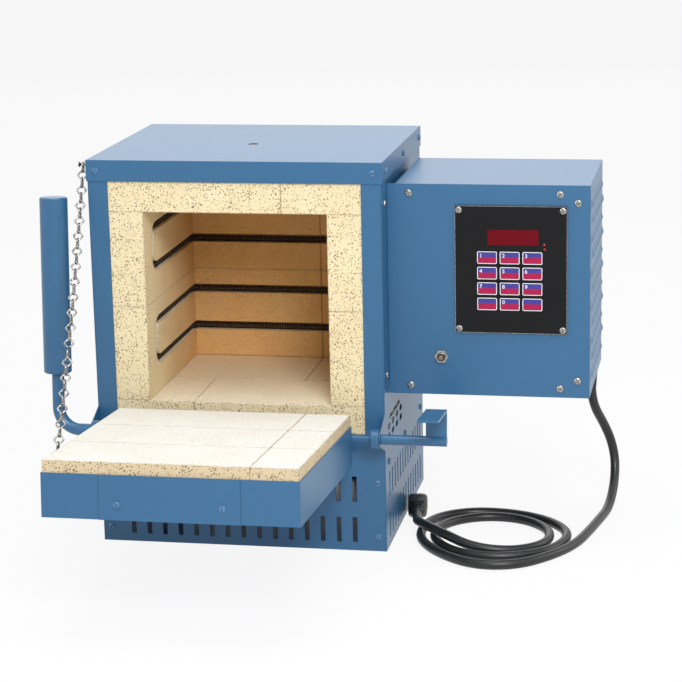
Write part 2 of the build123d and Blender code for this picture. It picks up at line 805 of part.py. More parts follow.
def screws(plane, centres, diameter, length=shank_l, stand=0.0):
    """Pan-head screws on one face; stand lifts the head off the sheet."""
    with BuildSketch(plane.offset(stand)) as rim:
        with Locations(*centres):
            Circle(diameter / 2)
    extrude(rim.sketch, amount=head_h / 2)
    with BuildSketch(plane.offset(stand + head_h / 2)) as crown:
        with Locations(*centres):
            Circle(diameter / 2)
    extrude(crown.sketch, amount=head_h / 2, taper=40)
    with BuildSketch(plane.offset(stand)) as shank:
        with Locations(*centres):
            Circle(shank_d / 2)
    extrude(shank.sketch, amount=-length - stand)


with BuildPart() as case_screws:
    screws(lid_front, lip_front_screws, head_d, shank_short)
    screws(lid_back, lip_front_screws, head_d, shank_short)
    screws(lid_right, lip_side_screws, head_d, shank_mid)
    screws(lid_left, [(-y, z) for y, z in lip_side_screws[1:]], head_d, shank_mid)
    screws(lid_left, [chain_screw], head_d, shank_mid, -chain_top_x - cab_w / 2 + 2 * wire_d)
    screws(front_plane, frame_screws, head_d)
    screws(back_plane, frame_screws, head_d)
    screws(right_plane, base_side_screws, head_d)
    screws(left_plane, [(-y, z) for y, z in base_side_screws], head_d)
save(case_screws.part, "case_screws")

with BuildPart() as control_screws:
    screws(box_plane, plate_screws, steel_head_d)
    screws(box_plane.offset(face_t), face_screws, head_d)
    screws(right_plane, mount_screws, head_d, shank_short)
save(control_screws.part, "control_screws")

# Door: built in its own frame, turned up by the tilt about the hinge axis.
# Local x is the row's X, local y runs from the hinge towards the door's front.
forward = Vector(0, -math.cos(tilt), math.sin(tilt))
upward = Vector(0, math.sin(tilt), math.cos(tilt))
hinge = Vector(0, hinge_y, hinge_z)


def door_point(x, along, up):
    """A point of the open door as the row's coordinates."""
    return hinge + Vector(x, 0, 0) + forward * along + upward * up


def door_level(up):
    """A plane of the door at a height over the hinge axis; its y points back."""
    return Plane(origin=door_point(0, 0, up), x_dir=(1, 0, 0), z_dir=upward)


front_face_plane = Plane(origin=door_point(0, pan_front, 0), x_dir=(1, 0, 0), z_dir=forward)
pan_left_plane = Plane(origin=door_point(-door_x, 0, 0), x_dir=forward, z_dir=(-1, 0, 0))
flap_screws = [(x, pan_floor + flap_screw_up) for x in (-flap_screw_x, flap_screw_x)]
pan_mid = -(pan_back + pan_front) / 2

with BuildPart() as door_pan:
    with BuildSketch(door_level(pan_floor)):
        with Locations((0, pan_mid)):
            Rectangle(door_w, door_l)
    extrude(amount=pan_deep)
    with BuildSketch(door_level(pan_floor + sheet)):
        with Locations((0, pan_mid)):
            Rectangle(door_w - 2 * sheet, door_l - 2 * sheet)
    extrude(amount=pan_deep, mode=Mode.SUBTRACT)
    with BuildSketch(front_face_plane):
        with Locations((0, pan_floor + pan_deep / 2)):
            Rectangle(front_flap_w, pan_deep)
    extrude(amount=sheet)
    round_holes(front_face_plane.offset(sheet), flap_screws, lid_hole, 2 * sheet)
    round_holes(pan_left_plane, [(chain_pin_along, chain_pin_up)], lid_hole, sheet)
save(door_pan.part, "door_pan")

with BuildPart() as door_bricks:
    lining_x0 = -door_x + sheet + fit_gap
    lining_x1 = -lining_x0
    lining_y0 = pan_back + sheet + fit_gap
    lining_y1 = pan_front - sheet - fit_gap
    row_w = (lining_y1 - lining_y0) / 3
    lining_h = face_up - pan_floor - sheet
    for i in range(3):
        for x0, x1 in ((lining_x0, lining_x0 + brick_l), (lining_x0 + brick_l, lining_x1)):
            y_mid = lining_y0 + (i + 0.5) * row_w
            with BuildSketch(door_level(pan_floor + sheet)):
                with Locations(((x0 + x1) / 2, -y_mid)):
                    Rectangle(x1 - x0 - brick_gap, row_w - brick_gap)
            extrude(amount=lining_h)
    tops = [f for f in door_bricks.faces() if abs((f.center() - hinge).dot(upward) - face_up) < fit_gap]
    chamfer([e for f in tops for e in f.edges()], length=brick_edge)
save(door_bricks.part, "door_bricks")

shaft_left = side_x + side_gap + arm_grip
shaft_right = lever_x0 + lever_w
with BuildPart() as hinge_shaft:
    with BuildSketch(Plane(origin=(-shaft_left, hinge_y, hinge_z), x_dir=(0, 1, 0), z_dir=(1, 0, 0))):
        Circle(shaft_d / 2)
    extrude(amount=shaft_left + shaft_right)
save(hinge_shaft.part, "hinge_shaft")

collar_inner = side_x - sheet - side_gap - collar_w
with BuildPart() as hinge_collars:
    for start in (collar_inner, -collar_inner - collar_w):
        with BuildSketch(Plane(origin=(start, hinge_y, hinge_z), x_dir=(0, 1, 0), z_dir=(1, 0, 0))):
            Circle(collar_d / 2)
            Circle(shaft_d / 2 + shaft_play, mode=Mode.SUBTRACT)
        extrude(amount=collar_w)
    rims = hinge_collars.edges().filter_by(GeomType.CIRCLE)
    chamfer([e for e in rims if e.radius > collar_d / 3], length=collar_w / 12)
save(hinge_collars.part, "hinge_collars")

with BuildPart() as counterweight_arm:
    with BuildLine() as arm_line:
        FilletPolyline(
            door_point(-side_x - side_gap, 0, 0),
            door_point(-arm_x, 0, 0),
            door_point(-arm_x, 0, tube_low + arm_grip),
            radius=arm_bend,
        )
    with BuildSketch(Plane(arm_line.line @ 0, z_dir=(-1, 0, 0))):
        Circle(arm_d / 2)
    sweep()
    with BuildSketch(Plane(origin=door_point(-side_x - side_gap, 0, 0), x_dir=(0, 1, 0), z_dir=(1, 0, 0))):
        Circle(shaft_d / 2 + shaft_play)
    extrude(amount=-arm_grip - side_gap, mode=Mode.SUBTRACT)
save(counterweight_arm.part, "counterweight_arm")

with BuildPart() as counterweight_tube:
    tube_plane = Plane(origin=door_point(-arm_x, 0, tube_low), x_dir=(1, 0, 0), z_dir=upward)
    with BuildSketch(tube_plane):
        Circle(tube_d / 2)
    extrude(amount=tube_l)
    chamfer(counterweight_tube.edges().filter_by(GeomType.CIRCLE), length=1.5)
    with BuildSketch(tube_plane):
        Circle(arm_d / 2 + fit_gap)
    extrude(amount=arm_grip + side_gap, mode=Mode.SUBTRACT)
save(counterweight_tube.part, "counterweight_tube")

with BuildPart() as door_lever:
    sleeve_x = side_x + side_gap
    lever_mid = lever_x0 + lever_w / 2
    lever_side = Plane(origin=door_point(lever_x0, 0, 0), x_dir=-forward, z_dir=(1, 0, 0))
    with BuildSketch(Plane(origin=(sleeve_x, hinge_y, hinge_z), x_dir=(0, 1, 0), z_dir=(1, 0, 0))):
        Circle(lever_sleeve_d / 2)
    extrude(amount=shaft_right - sleeve_x)
    with BuildSketch(lever_side):
        with Locations((0, lever_rise / 2)):
            Rectangle(lever_t, lever_rise)
        with Locations((lever_t / 2 - lever_reach / 2, lever_rise - lever_t / 2)):
            Rectangle(lever_reach, lever_t)
    extrude(amount=lever_w)
    with BuildSketch(Plane(origin=(sleeve_x, hinge_y, hinge_z), x_dir=(0, 1, 0), z_dir=(1, 0, 0))):
        Circle(shaft_d / 2 + shaft_play)
    extrude(amount=shaft_right - sleeve_x, mode=Mode.SUBTRACT)
save(door_lever.part, "door_lever")

pin_stand = chain_pin_out + 2 * wire_d
with BuildPart() as door_screws:
    screws(front_face_plane.offset(sheet), flap_screws, head_d, shank_short)
    with BuildSketch(pan_left_plane.offset(pin_stand)):
        with Locations((chain_pin_along, chain_pin_up)):
            Circle(head_d / 2)
    extrude(amount=head_h)
    with BuildSketch(pan_left_plane.offset(pin_stand)):
        with Locations((chain_pin_along, chain_pin_up)):
            Circle(shank_d / 2)
    extrude(amount=-pin_stand - sheet)
save(door_screws.part, "door_screws")

# Chain: each link is two loops of wire at right angles, hooked through the next
chain_top = Vector(chain_top_x, chain_top_y, chain_top_z)
chain_end = door_point(-door_x - chain_pin_out, chain_pin_along, chain_pin_up)
chord = chain_end - chain_top
arc_radius = (chord.length**2 / 4 + chain_sag**2) / (2 * chain_sag)
half_angle = math.asin(chord.length / 2 / arc_radius)
arc_length = 2 * arc_radius * half_angle
pin_reach = shank_d / 2 + wire_d / 2 + link_clear
hook = wire_d + link_clear
loop_l = (arc_length + 2 * pin_reach + link_count * hook - hook - wire_d - open_gap) / (2 * link_count + 1)
link_l = 2 * loop_l
along_chord = chord.normalized()
sideways = along_chord.cross(Vector(0, 0, 1)).normalized()
sag_dir = along_chord.cross(sideways).normalized()
if sag_dir.Z > 0:
    sag_dir = -sag_dir


def chain_frame(s):
    """The plane of the chain at a length s from the top screw: z down the chain."""
    angle = s / arc_radius - half_angle
    centre = chain_top + along_chord * (chord.length / 2) - sag_dir * (arc_radius - chain_sag)
    point = centre + sag_dir * (arc_radius * math.cos(angle)) + along_chord * (arc_radius * math.sin(angle))
    tangent = along_chord * math.cos(angle) - sag_dir * math.sin(angle)
    return Plane(origin=point, x_dir=sideways, z_dir=tangent)


def loop(plane, middle):
    """One loop of round wire, as six-sided wire on an eight-sided path."""
    half_l = loop_l / 2
    half_w = loop_w / 2
    corner = half_w * loop_corner
    points = [
        (corner, middle - half_l),
        (half_w, middle - half_l * loop_corner),
        (half_w, middle + half_l * loop_corner),
        (corner, middle + half_l),
    ]
    points = points + [(-x, y) for x, y in reversed(points)]
    with BuildLine(plane) as path:
        Polyline(*points, close=True)
    first = path.line @ 0
    heading = path.line % 0
    with BuildSketch(Plane(origin=first, x_dir=plane.z_dir, z_dir=heading)) as section:
        RegularPolygon(wire_d / 2, 6)
    sweep(section.sketch, path=path.line, transition=Transition.RIGHT)


flat_side = Plane(origin=(0, 0, 0), x_dir=(0, 1, 0), z_dir=(1, 0, 0))
cross_side = Plane(origin=(0, 0, 0), x_dir=(1, 0, 0), z_dir=(0, -1, 0))
with BuildPart() as link:
    loop(flat_side, -loop_l / 2)
    loop(cross_side, -loop_l * 1.5)
with BuildPart() as end_ring:
    loop(flat_side, -loop_l / 2)

starts = []
s = -pin_reach
for i in range(link_count + 1):
    starts.append(s)
    step = link_l - hook
    if i == upper_links - 1:
        step = link_l + wire_d + open_gap
    s = s + step


def hang(piece, s, length):
    """A link moved to its place, its top bar at length s down the chain."""
    middle = chain_frame(s + length / 2)
    place = Plane(origin=middle.origin - middle.z_dir * (length / 2), x_dir=middle.x_dir, z_dir=-middle.z_dir)
    return piece.moved(place.location)


chain_upper = Compound(label="chain_upper", children=[hang(link.part, v, link_l) for v in starts[:upper_links]])
export_step(chain_upper, "parts/chain_upper.step")
lower = [hang(link.part, v, link_l) for v in starts[upper_links:link_count]]
lower = lower + [hang(end_ring.part, starts[link_count], loop_l)]
chain_lower = Compound(label="chain_lower", children=lower)
export_step(chain_lower, "parts/chain_lower.step")

# Mains cord: down from the gland under the control box to the bench, then
# inwards in loose loops, and over its own turns to the plug by the cabinet.
lie = cord_d / 2 + fit_gap
hump = lie + cord_d + cross_gap
cord_points = [
    (gland_x, gland_y, box_z0 - gland_l),
    (gland_x, gland_y, 149.0),
    (407.0, 73.0, 125.3),
    (414.0, 89.0, 103.9),
    (424.0, 96.0, 80.0),
    (431.0, 93.0, 54.3),
    (434.0, 80.0, 31.3),
    (435.0, 60.0, 14.6),
    (432.0, 30.0, lie),
    (424.0, -11.0, lie),
    (413.0, -60.0, lie),
    (400.0, -106.0, lie),
    (376.0, -150.0, lie),
    (338.0, -190.0, lie),
    (288.0, -196.0, lie),
    (243.0, -163.0, lie),
    (212.0, -116.0, lie),
    (207.0, -67.0, lie),
    (222.0, -22.0, lie),
    (264.0, 3.0, lie),
    (316.0, 0.0, lie),
    (362.0, -24.0, lie),
    (386.0, -72.0, lie),
    (376.0, -121.0, lie),
    (345.0, -156.0, lie),
    (294.0, -169.0, lie),
    (247.0, -145.0, lie),
    (223.0, -96.0, lie),
    (233.0, -46.0, lie),
    (276.0, -14.0, lie),
    (328.0, -19.0, lie),
    (361.0, -56.0, lie),
    (362.0, -106.0, lie),
    (330.0, -143.0, lie),
    (281.0, -150.0, 11.0),
    (240.0, -124.0, hump),
    (205.0, -86.0, hump),
    (199.0, -56.0, plug_w / 2),
    (196.0, -34.0, plug_w / 2),
]


def cord_radii(points):
    """Fillet radii: 0.45 of the shorter run over the tangent of half the turn."""
    radii = []
    for a, b, c in zip(points, points[1:], points[2:]):
        first = Vector(*b) - Vector(*a)
        second = Vector(*c) - Vector(*b)
        turn = math.radians(first.get_angle(second))
        radii.append(0.45 * min(first.length, second.length) / math.tan(turn / 2))
    return radii


radii = cord_radii(cord_points)
print("cord radii:", [round(r) for r in radii])
with BuildPart() as power_cord:
    with BuildLine() as cord_line:
        FilletPolyline(*cord_points, radius=radii)
    with BuildSketch(Plane(cord_line.line @ 0, z_dir=cord_line.line % 0)):
        RegularPolygon(cord_d / 2, cord_sides)
    sweep()
section_area = cord_sides / 2 * (cord_d / 2) ** 2 * math.sin(2 * math.pi / cord_sides)
cord_length = sum(e.length for e in cord_line.line.edges())
print("cord length", cord_length, "volume ratio", power_cord.part.volume / section_area / cord_length)
save(power_cord.part, "power_cord")

with BuildPart() as cord_gland:
    with BuildSketch(Plane.XY.offset(box_z0 - gland_l)):
        with Locations((gland_x, gland_y)):
            Circle(cord_d / 2 + gland_neck)
    with BuildSketch(Plane.XY.offset(box_z0)):
        with Locations((gland_x, gland_y)):
            Circle(gland_d / 2)
    loft()
    with BuildSketch(Plane.XY.offset(box_z0)):
        with Locations((gland_x, gland_y)):
            Circle(gland_d / 2 - gland_wall - shank_play)
    extrude(amount=sheet + gland_nose)
save(cord_gland.part, "cord_gland")

plug_end = Vector(*cord_points[-1])
plug_way = (plug_end - Vector(*cord_points[-2]))
plug_way = Vector(plug_way.X, plug_way.Y, 0).normalized()
plug_plane = Plane(origin=plug_end, x_dir=(0, 0, 1), z_dir=plug_way)
with BuildPart() as cord_plug:
    with BuildSketch(plug_plane):
        Circle(cord_d / 2 + gland_wall)
    extrude(amount=plug_rear)
    with BuildSketch(plug_plane.offset(plug_rear)):
        RectangleRounded(plug_w * 0.8, plug_w * 0.8, plug_w / 5)
    with BuildSketch(plug_plane.offset(plug_l)):
        RectangleRounded(plug_w, plug_w, plug_w / 5)
    loft()
    with BuildSketch(plug_plane.offset(plug_l)):
        with Locations((blade_t, 0)):
            with GridLocations(0, blade_pitch, 1, 2):
                Rectangle(blade_w, blade_t)
        with Locations((blade_t - pin_drop / 1.5, 0)):
            Circle(pin_d / 2)
    extrude(amount=blade_l)
save(cord_plug.part, "cord_plug")
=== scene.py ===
import json
import math
import random

import bmesh
import bpy
from mathutils import Matrix, Vector


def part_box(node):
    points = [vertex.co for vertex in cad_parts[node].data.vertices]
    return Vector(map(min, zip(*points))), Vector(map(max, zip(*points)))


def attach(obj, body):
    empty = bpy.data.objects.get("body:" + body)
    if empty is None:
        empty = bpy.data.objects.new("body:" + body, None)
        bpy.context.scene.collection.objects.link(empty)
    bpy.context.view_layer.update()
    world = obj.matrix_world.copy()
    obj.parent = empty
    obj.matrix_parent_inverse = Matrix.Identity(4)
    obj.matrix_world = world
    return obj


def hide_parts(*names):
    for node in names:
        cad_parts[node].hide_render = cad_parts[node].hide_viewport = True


# Looks of the bench-top burnout furnace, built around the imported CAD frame.
# The scene is in metres, in the CAD's own frame: +X right, +Y back, +Z up.
# Measures of shapes are written in millimetres, and MM turns them into metres.
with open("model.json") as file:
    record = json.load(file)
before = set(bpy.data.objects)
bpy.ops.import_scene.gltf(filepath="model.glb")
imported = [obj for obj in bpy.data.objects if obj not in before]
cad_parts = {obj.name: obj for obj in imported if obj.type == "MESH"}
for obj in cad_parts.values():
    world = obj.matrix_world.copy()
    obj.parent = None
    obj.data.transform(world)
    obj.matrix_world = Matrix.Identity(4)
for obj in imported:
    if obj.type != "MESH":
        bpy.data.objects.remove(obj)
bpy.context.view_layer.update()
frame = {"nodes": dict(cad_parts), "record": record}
scene = bpy.context.scene
MM = 0.001

# Camera fitted to the photograph
camera_at = Vector((0.60859, -2.62765, 0.88175))
camera_yaw = math.radians(11.016)
camera_pitch = math.radians(13.821)
camera_roll = math.radians(-1.227)
camera_lens = 116.47
sensor_w = 36.0
view_reach = 200.0


def add_camera():
    """The camera at the photograph's viewpoint."""
    forward = Vector((
        -math.sin(camera_yaw) * math.cos(camera_pitch),
        math.cos(camera_yaw) * math.cos(camera_pitch),
        -math.sin(camera_pitch),
    ))
    right = Vector((math.cos(camera_yaw), math.sin(camera_yaw), 0.0))
    up = right.cross(forward)
    turned_right = right * math.cos(camera_roll) + up * math.sin(camera_roll)
    turned_up = up * math.cos(camera_roll) - right * math.sin(camera_roll)
    data = bpy.data.cameras.new("photo_camera")
    data.lens = camera_lens
    data.sensor_width = sensor_w
    data.clip_end = view_reach
    camera = bpy.data.objects.new("photo_camera", data)
    scene.collection.objects.link(camera)
    turn = Matrix((turned_right, turned_up, -forward)).transposed().to_4x4()
    camera.matrix_world = Matrix.Translation(camera_at) @ turn
    scene.camera = camera


add_camera()


def link(name, data):
    """A new object in the scene."""
    piece = bpy.data.objects.new(name, data)
    scene.collection.objects.link(piece)
    return piece


def finish_piece(piece, body, slot_name, mat, *nodes):
    """Material, body and the CAD nodes that a piece stands for; slot_name is not used."""
    piece.data.materials.clear()
    piece.data.materials.append(mat)
    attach(piece, body)
    if nodes:
        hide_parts(*nodes)
    return piece


class Graph:
    """A procedural material: a Principled shader fed by object coordinates."""

    def __init__(self, name, roughness, metallic=0.0):
        self.mat = bpy.data.materials.new(name)
        self.mat.use_nodes = True
        self.nodes = self.mat.node_tree.nodes
        self.links = self.mat.node_tree.links
        self.shader = self.nodes["Principled BSDF"]
        self.shader.inputs["Roughness"].default_value = roughness
        self.shader.inputs["Metallic"].default_value = metallic
        self.where = self.nodes.new("ShaderNodeTexCoord").outputs["Object"]

    def plug(self, socket, value):
        """Link an output to a socket, or set its number or colour."""
        if isinstance(value, bpy.types.NodeSocket):
            self.links.new(value, socket)
        elif isinstance(value, tuple) and len(value) == 3 and socket.type == "RGBA":
            socket.default_value = (*value, 1.0)
        else:
            socket.default_value = value

    def noise(self, scale, detail=3.0, rough=0.5):
        """Noise factor, its scale in features to the metre."""
        node = self.nodes.new("ShaderNodeTexNoise")
        self.plug(node.inputs["Vector"], self.where)
        node.inputs["Scale"].default_value = scale
        node.inputs["Detail"].default_value = detail
        node.inputs["Roughness"].default_value = rough
        return node.outputs[0]

    def cells(self, scale):
        """Distance to the nearest point of a cell pattern, with this many cells to the metre."""
        node = self.nodes.new("ShaderNodeTexVoronoi")
        self.plug(node.inputs["Vector"], self.where)
        node.inputs["Scale"].default_value = scale
        return node.outputs["Distance"]

    def span(self, value, low, high, to_low=0.0, to_high=1.0):
        """Map a value from one range to another, clamped."""
        node = self.nodes.new("ShaderNodeMapRange")
        self.plug(node.inputs[0], value)
        for i, number in enumerate((low, high, to_low, to_high)):
            node.inputs[i + 1].default_value = number
        return node.outputs[0]

    def math(self, operation, a, b):
        """One arithmetic step."""
        node = self.nodes.new("ShaderNodeMath")
        node.operation = operation
        self.plug(node.inputs[0], a)
        self.plug(node.inputs[1], b)
        return node.outputs[0]

    def times(self, a, b):
        """One value times another."""
        return self.math("MULTIPLY", a, b)

    def mix(self, factor, a, b):
        """Mix two colours."""
        node = self.nodes.new("ShaderNodeMix")
        node.data_type = "RGBA"
        self.plug(node.inputs[0], factor)
        self.plug(node.inputs[6], a)
        self.plug(node.inputs[7], b)
        return node.outputs[2]

    def part_of(self, vector, name):
        """The X, Y or Z of a vector."""
        node = self.nodes.new("ShaderNodeSeparateXYZ")
        self.plug(node.inputs[0], vector)
        return node.outputs[name]

    def back(self):
        """The object's own Y coordinate, in metres."""
        return self.part_of(self.where, "Y")

    def upward(self):
        """How far the surface faces up, in the object's own frame."""
        return self.part_of(self.where.node.outputs["Normal"], "Z")

    def rounded(self, radius):
        """Normals that round the edges off."""
        node = self.nodes.new("ShaderNodeBevel")
        node.samples = 4
        node.inputs["Radius"].default_value = radius
        return node.outputs[0]

    def edges(self, radius):
        """A line along the edges of each solid, 1 on the edge and 0 away from it."""
        turned = self.nodes.new("ShaderNodeVectorMath")
        turned.operation = "DOT_PRODUCT"
        self.plug(turned.inputs[0], self.rounded(radius))
        self.plug(turned.inputs[1], self.nodes.new("ShaderNodeNewGeometry").outputs["Normal"])
        return self.span(turned.outputs["Value"], 0.93, 0.998, 1.0, 0.0)

    def openness(self, reach):
        """How open a spot is, 0 deep in a recess and 1 out in the open."""
        node = self.nodes.new("ShaderNodeAmbientOcclusion")
        node.samples = 6
        node.inputs["Distance"].default_value = reach
        return node.outputs["AO"]

    def bump(self, height, strength, distance, normal):
        """Bump from a height, over rounded edges."""
        node = self.nodes.new("ShaderNodeBump")
        node.inputs["Strength"].default_value = strength
        node.inputs["Distance"].default_value = distance
        self.plug(node.inputs["Height"], height)
        self.plug(node.inputs["Normal"], normal)
        return node.outputs[0]

    def set(self, socket, value):
        """Feed one of the shader's sockets."""
        self.plug(self.shader.inputs[socket], value)


# Where most of a noise pattern's values lie
noise_range = (0.3, 0.7)


def paint(name, low, high, roughness=0.34, peel=0.12):
    """Semi-gloss powder paint: faint orange peel, slightly uneven tone and gloss."""
    g = Graph(name, roughness)
    broad_tone = g.times(g.noise(2.4, detail=2.0), 0.6)
    fine_tone = g.times(g.noise(240.0), 0.4)
    tone = g.math("ADD", broad_tone, fine_tone)
    g.set("Base Color", g.mix(g.span(tone, 0.35, 0.65), low, high))
    g.set("Roughness", g.span(g.noise(210.0), *noise_range, roughness - 0.015, roughness + 0.02))
    orange_peel = g.noise(620.0, detail=2.0)
    g.set("Normal", g.bump(orange_peel, strength=peel, distance=0.00025, normal=g.rounded(0.0007)))
    return g.mat


# Firebrick: where it browns and takes painted shade towards the back, which faces are cut or face up and
# paler with painted light, the colours of the painted shade in its seams and pores, its pores in cells to
# the metre
tan_and_shade_y = (-0.11, 0.088)
cut_face_y = (-0.143, -0.125)
lit_up_facing = (0.3, 0.8)
door_lit_top = (0.55, 0.85)
painted_floor_light = (0.90, 0.82, 0.65)
seam_shade_brown = (0.10, 0.052, 0.022)
seam_reach = 0.0008
pore_brown = (0.12, 0.07, 0.03)
pore_dark = 0.86
small_pores = 390.0
large_pores = 150.0
smooth_pores = 0.22


def firebrick(name, pale, tan, dust, top=None):
    """Porous insulating brick, browned towards the back partly in its own colour and partly as painted
    shade, paler on up-facing faces as painted light, with painted shade along its edges and in its pores;
    or, where an upper colour is given, with a paler upper face as painted light.
    """
    g = Graph(name, 0.92)
    cloud = g.noise(16.0, detail=4.0, rough=0.6)
    grain = g.noise(330.0, rough=0.7)
    up = g.upward()
    if top is None:
        base = g.mix(g.span(cloud, 0.35, 0.7), pale, dust)
        # Painted light: up-facing faces, the chamber's floor among them, mix towards a paler colour
        base = g.mix(g.span(up, *lit_up_facing, 0.0, 0.8), base, painted_floor_light)
        # Browner towards the back of the chamber, partly the brick's own colour and partly painted shade,
        # less on up-facing faces
        tan_and_shade = g.times(g.span(g.back(), *tan_and_shade_y), g.span(up, *lit_up_facing, 1.0, 0.5))
        base = g.mix(g.times(tan_and_shade, g.span(cloud, 0.2, 0.8, 0.8, 1.0)), base, tan)
        porous = g.span(g.back(), *cut_face_y, 1.0, smooth_pores)
    else:
        # The door's upper face takes a paler colour: painted light on its top
        upper = g.mix(g.span(cloud, 0.4, 0.8), top, dust)
        base = g.mix(g.span(up, *door_lit_top), pale, upper)
        porous = g.span(up, *door_lit_top, 1.0, smooth_pores)
    grog = tuple(c * 0.7 for c in tan)
    base = g.mix(g.span(grain, 0.42, 0.72, 0.0, 0.2), base, grog)
    # Painted shade along every brick edge, standing for the shaded gaps between bricks
    seam_shade = g.times(g.edges(seam_reach), g.span(g.noise(45.0), 0.3, 0.6, 0.45, 0.9))
    base = g.mix(seam_shade, base, seam_shade_brown)
    crowding = g.span(g.noise(70.0, detail=2.0), *noise_range, 0.05, -0.11)
    small = g.span(g.math("ADD", g.cells(small_pores), crowding), 0.17, 0.29, 1.0, 0.0)
    ragged = g.span(grain, *noise_range, 0.09, -0.06)
    large = g.span(g.math("ADD", g.cells(large_pores), ragged), 0.1, 0.17, 1.0, 0.0)
    pores = g.math("MAXIMUM", small, large)
    # Pores are darkened brown: painted shade inside the pits
    pore_shade = g.times(g.times(pores, porous), pore_dark)
    g.set("Base Color", g.mix(pore_shade, base, pore_brown))
    height = g.math("SUBTRACT", g.times(grain, 0.35), pores)
    g.set("Normal", g.bump(height, strength=0.6, distance=0.0008, normal=g.rounded(0.0009)))
    return g.mat


def metal(name, low, high, roughness, scratch=0.1, recess_shade=0.35):
    """Bare or plated metal with fine streaks and patchy gloss, darkened in recesses and where parts meet as
    painted shade.
    """
    g = Graph(name, roughness, 1.0)
    streak = g.noise(260.0, detail=4.0, rough=0.6)
    bare = g.mix(g.span(streak, *noise_range), low, high)
    # Painted shade: the colour turns near black in recesses and where wires and parts meet, by how enclosed
    # each spot is
    recess_shade_mask = g.span(g.openness(0.0022), 0.3, 0.85, recess_shade, 0.0)
    recess_shade_colour = tuple(c * 0.12 for c in low)
    g.set("Base Color", g.mix(recess_shade_mask, bare, recess_shade_colour))
    g.set("Roughness", g.span(streak, *noise_range, roughness - 0.06, roughness + 0.1))
    g.set("Normal", g.bump(streak, strength=scratch, distance=0.0002, normal=g.rounded(0.0004)))
    return g.mat


def plastic(name, low, high, roughness, texture=400.0, strength=0.08, shine=0.5):
    """Moulded plastic, film or rubber with a fine surface texture."""
    g = Graph(name, roughness)
    g.shader.inputs["Specular IOR Level"].default_value = shine
    grain = g.noise(texture)
    g.set("Base Color", g.mix(g.noise(30.0), low, high))
    g.set("Roughness", g.span(grain, *noise_range, roughness - 0.05, roughness + 0.08))
    g.set("Normal", g.bump(grain, strength=strength, distance=0.0003, normal=g.rounded(0.0005)))
    return g.mat


blue = paint("blue_paint", (0.028, 0.122, 0.252), (0.034, 0.134, 0.272))
blue_bar = paint("blue_bar_paint", (0.027, 0.116, 0.240), (0.036, 0.136, 0.268), 0.3, peel=0.2)
# Screw paint: the cabinet's blue made lighter, as a painted highlight on the heads
lit_blue_screw = paint("painted_screw", (0.062, 0.170, 0.320), (0.090, 0.205, 0.370), 0.36, peel=0.3)
wall_brick = firebrick("wall_brick", (0.87, 0.745, 0.485), (0.67, 0.37, 0.127), (0.83, 0.69, 0.43))
# Door brick: its upper face paler as painted light from above
door_brick = firebrick(
    "door_brick", (0.68, 0.545, 0.345), (0.60, 0.41, 0.20), (0.83, 0.79, 0.69), top=(0.865, 0.85, 0.80)
)
# Mill steel, darkened as painted shade: the spacers it covers stand in a shaded gap
mill_steel = metal("mill_steel", (0.20, 0.20, 0.21), (0.32, 0.32, 0.33), 0.42)
plated = metal("plated_steel", (0.32, 0.31, 0.29), (0.58, 0.57, 0.54), 0.25, scratch=0.25, recess_shade=0.95)
chain_steel = metal("chain_steel", (0.10, 0.10, 0.095), (0.50, 0.49, 0.47), 0.18, scratch=0.3, recess_shade=1.0)
brass = metal("plug_brass", (0.62, 0.45, 0.20), (0.75, 0.56, 0.28), 0.3)
core_steel = metal("core_steel", (0.20, 0.20, 0.21), (0.30, 0.29, 0.28), 0.5)
# Element wire: dark oxidised wire, darkened further as painted shade of the grooves it lies in
coil_wire = metal("element_wire", (0.050, 0.043, 0.038), (0.095, 0.078, 0.064), 0.6)
button_bronze = metal("bronze_button", (0.16, 0.13, 0.10), (0.30, 0.26, 0.20), 0.34, scratch=0.2)
face_black = plastic(
    "black_face", (0.007, 0.007, 0.008), (0.010, 0.010, 0.011), 0.34,
    texture=700.0, strength=0.05, shine=0.15,
)
window_red = plastic(
    "red_window", (0.125, 0.003, 0.008), (0.165, 0.004, 0.010), 0.2,
    texture=60.0, strength=0.02, shine=0.08,
)
white_ink = plastic("white_ink", (0.74, 0.74, 0.78), (0.82, 0.82, 0.85), 0.5, shine=0.2)
violet_ink = plastic("violet_ink", (0.052, 0.046, 0.27), (0.066, 0.056, 0.31), 0.45, shine=0.2)
crimson_ink = plastic("crimson_ink", (0.36, 0.010, 0.060), (0.43, 0.014, 0.078), 0.45, shine=0.2)
lamp_red = plastic("lamp_red", (0.30, 0.01, 0.02), (0.40, 0.015, 0.03), 0.25)
moulding = plastic(
    "black_moulding", (0.012, 0.012, 0.012), (0.020, 0.020, 0.019), 0.42,
    texture=500.0, strength=0.15, shine=0.35,
)
rubber = plastic(
    "cord_rubber", (0.010, 0.011, 0.011), (0.018, 0.019, 0.018), 0.34,
    texture=900.0, strength=0.12, shine=0.45,
)
board_green = plastic("board_green", (0.02, 0.12, 0.05), (0.03, 0.17, 0.07), 0.4)
porcelain = plastic("porcelain", (0.80, 0.77, 0.70), (0.86, 0.83, 0.77), 0.25)
sheath = plastic("probe_sheath", (0.66, 0.60, 0.52), (0.74, 0.68, 0.60), 0.6)

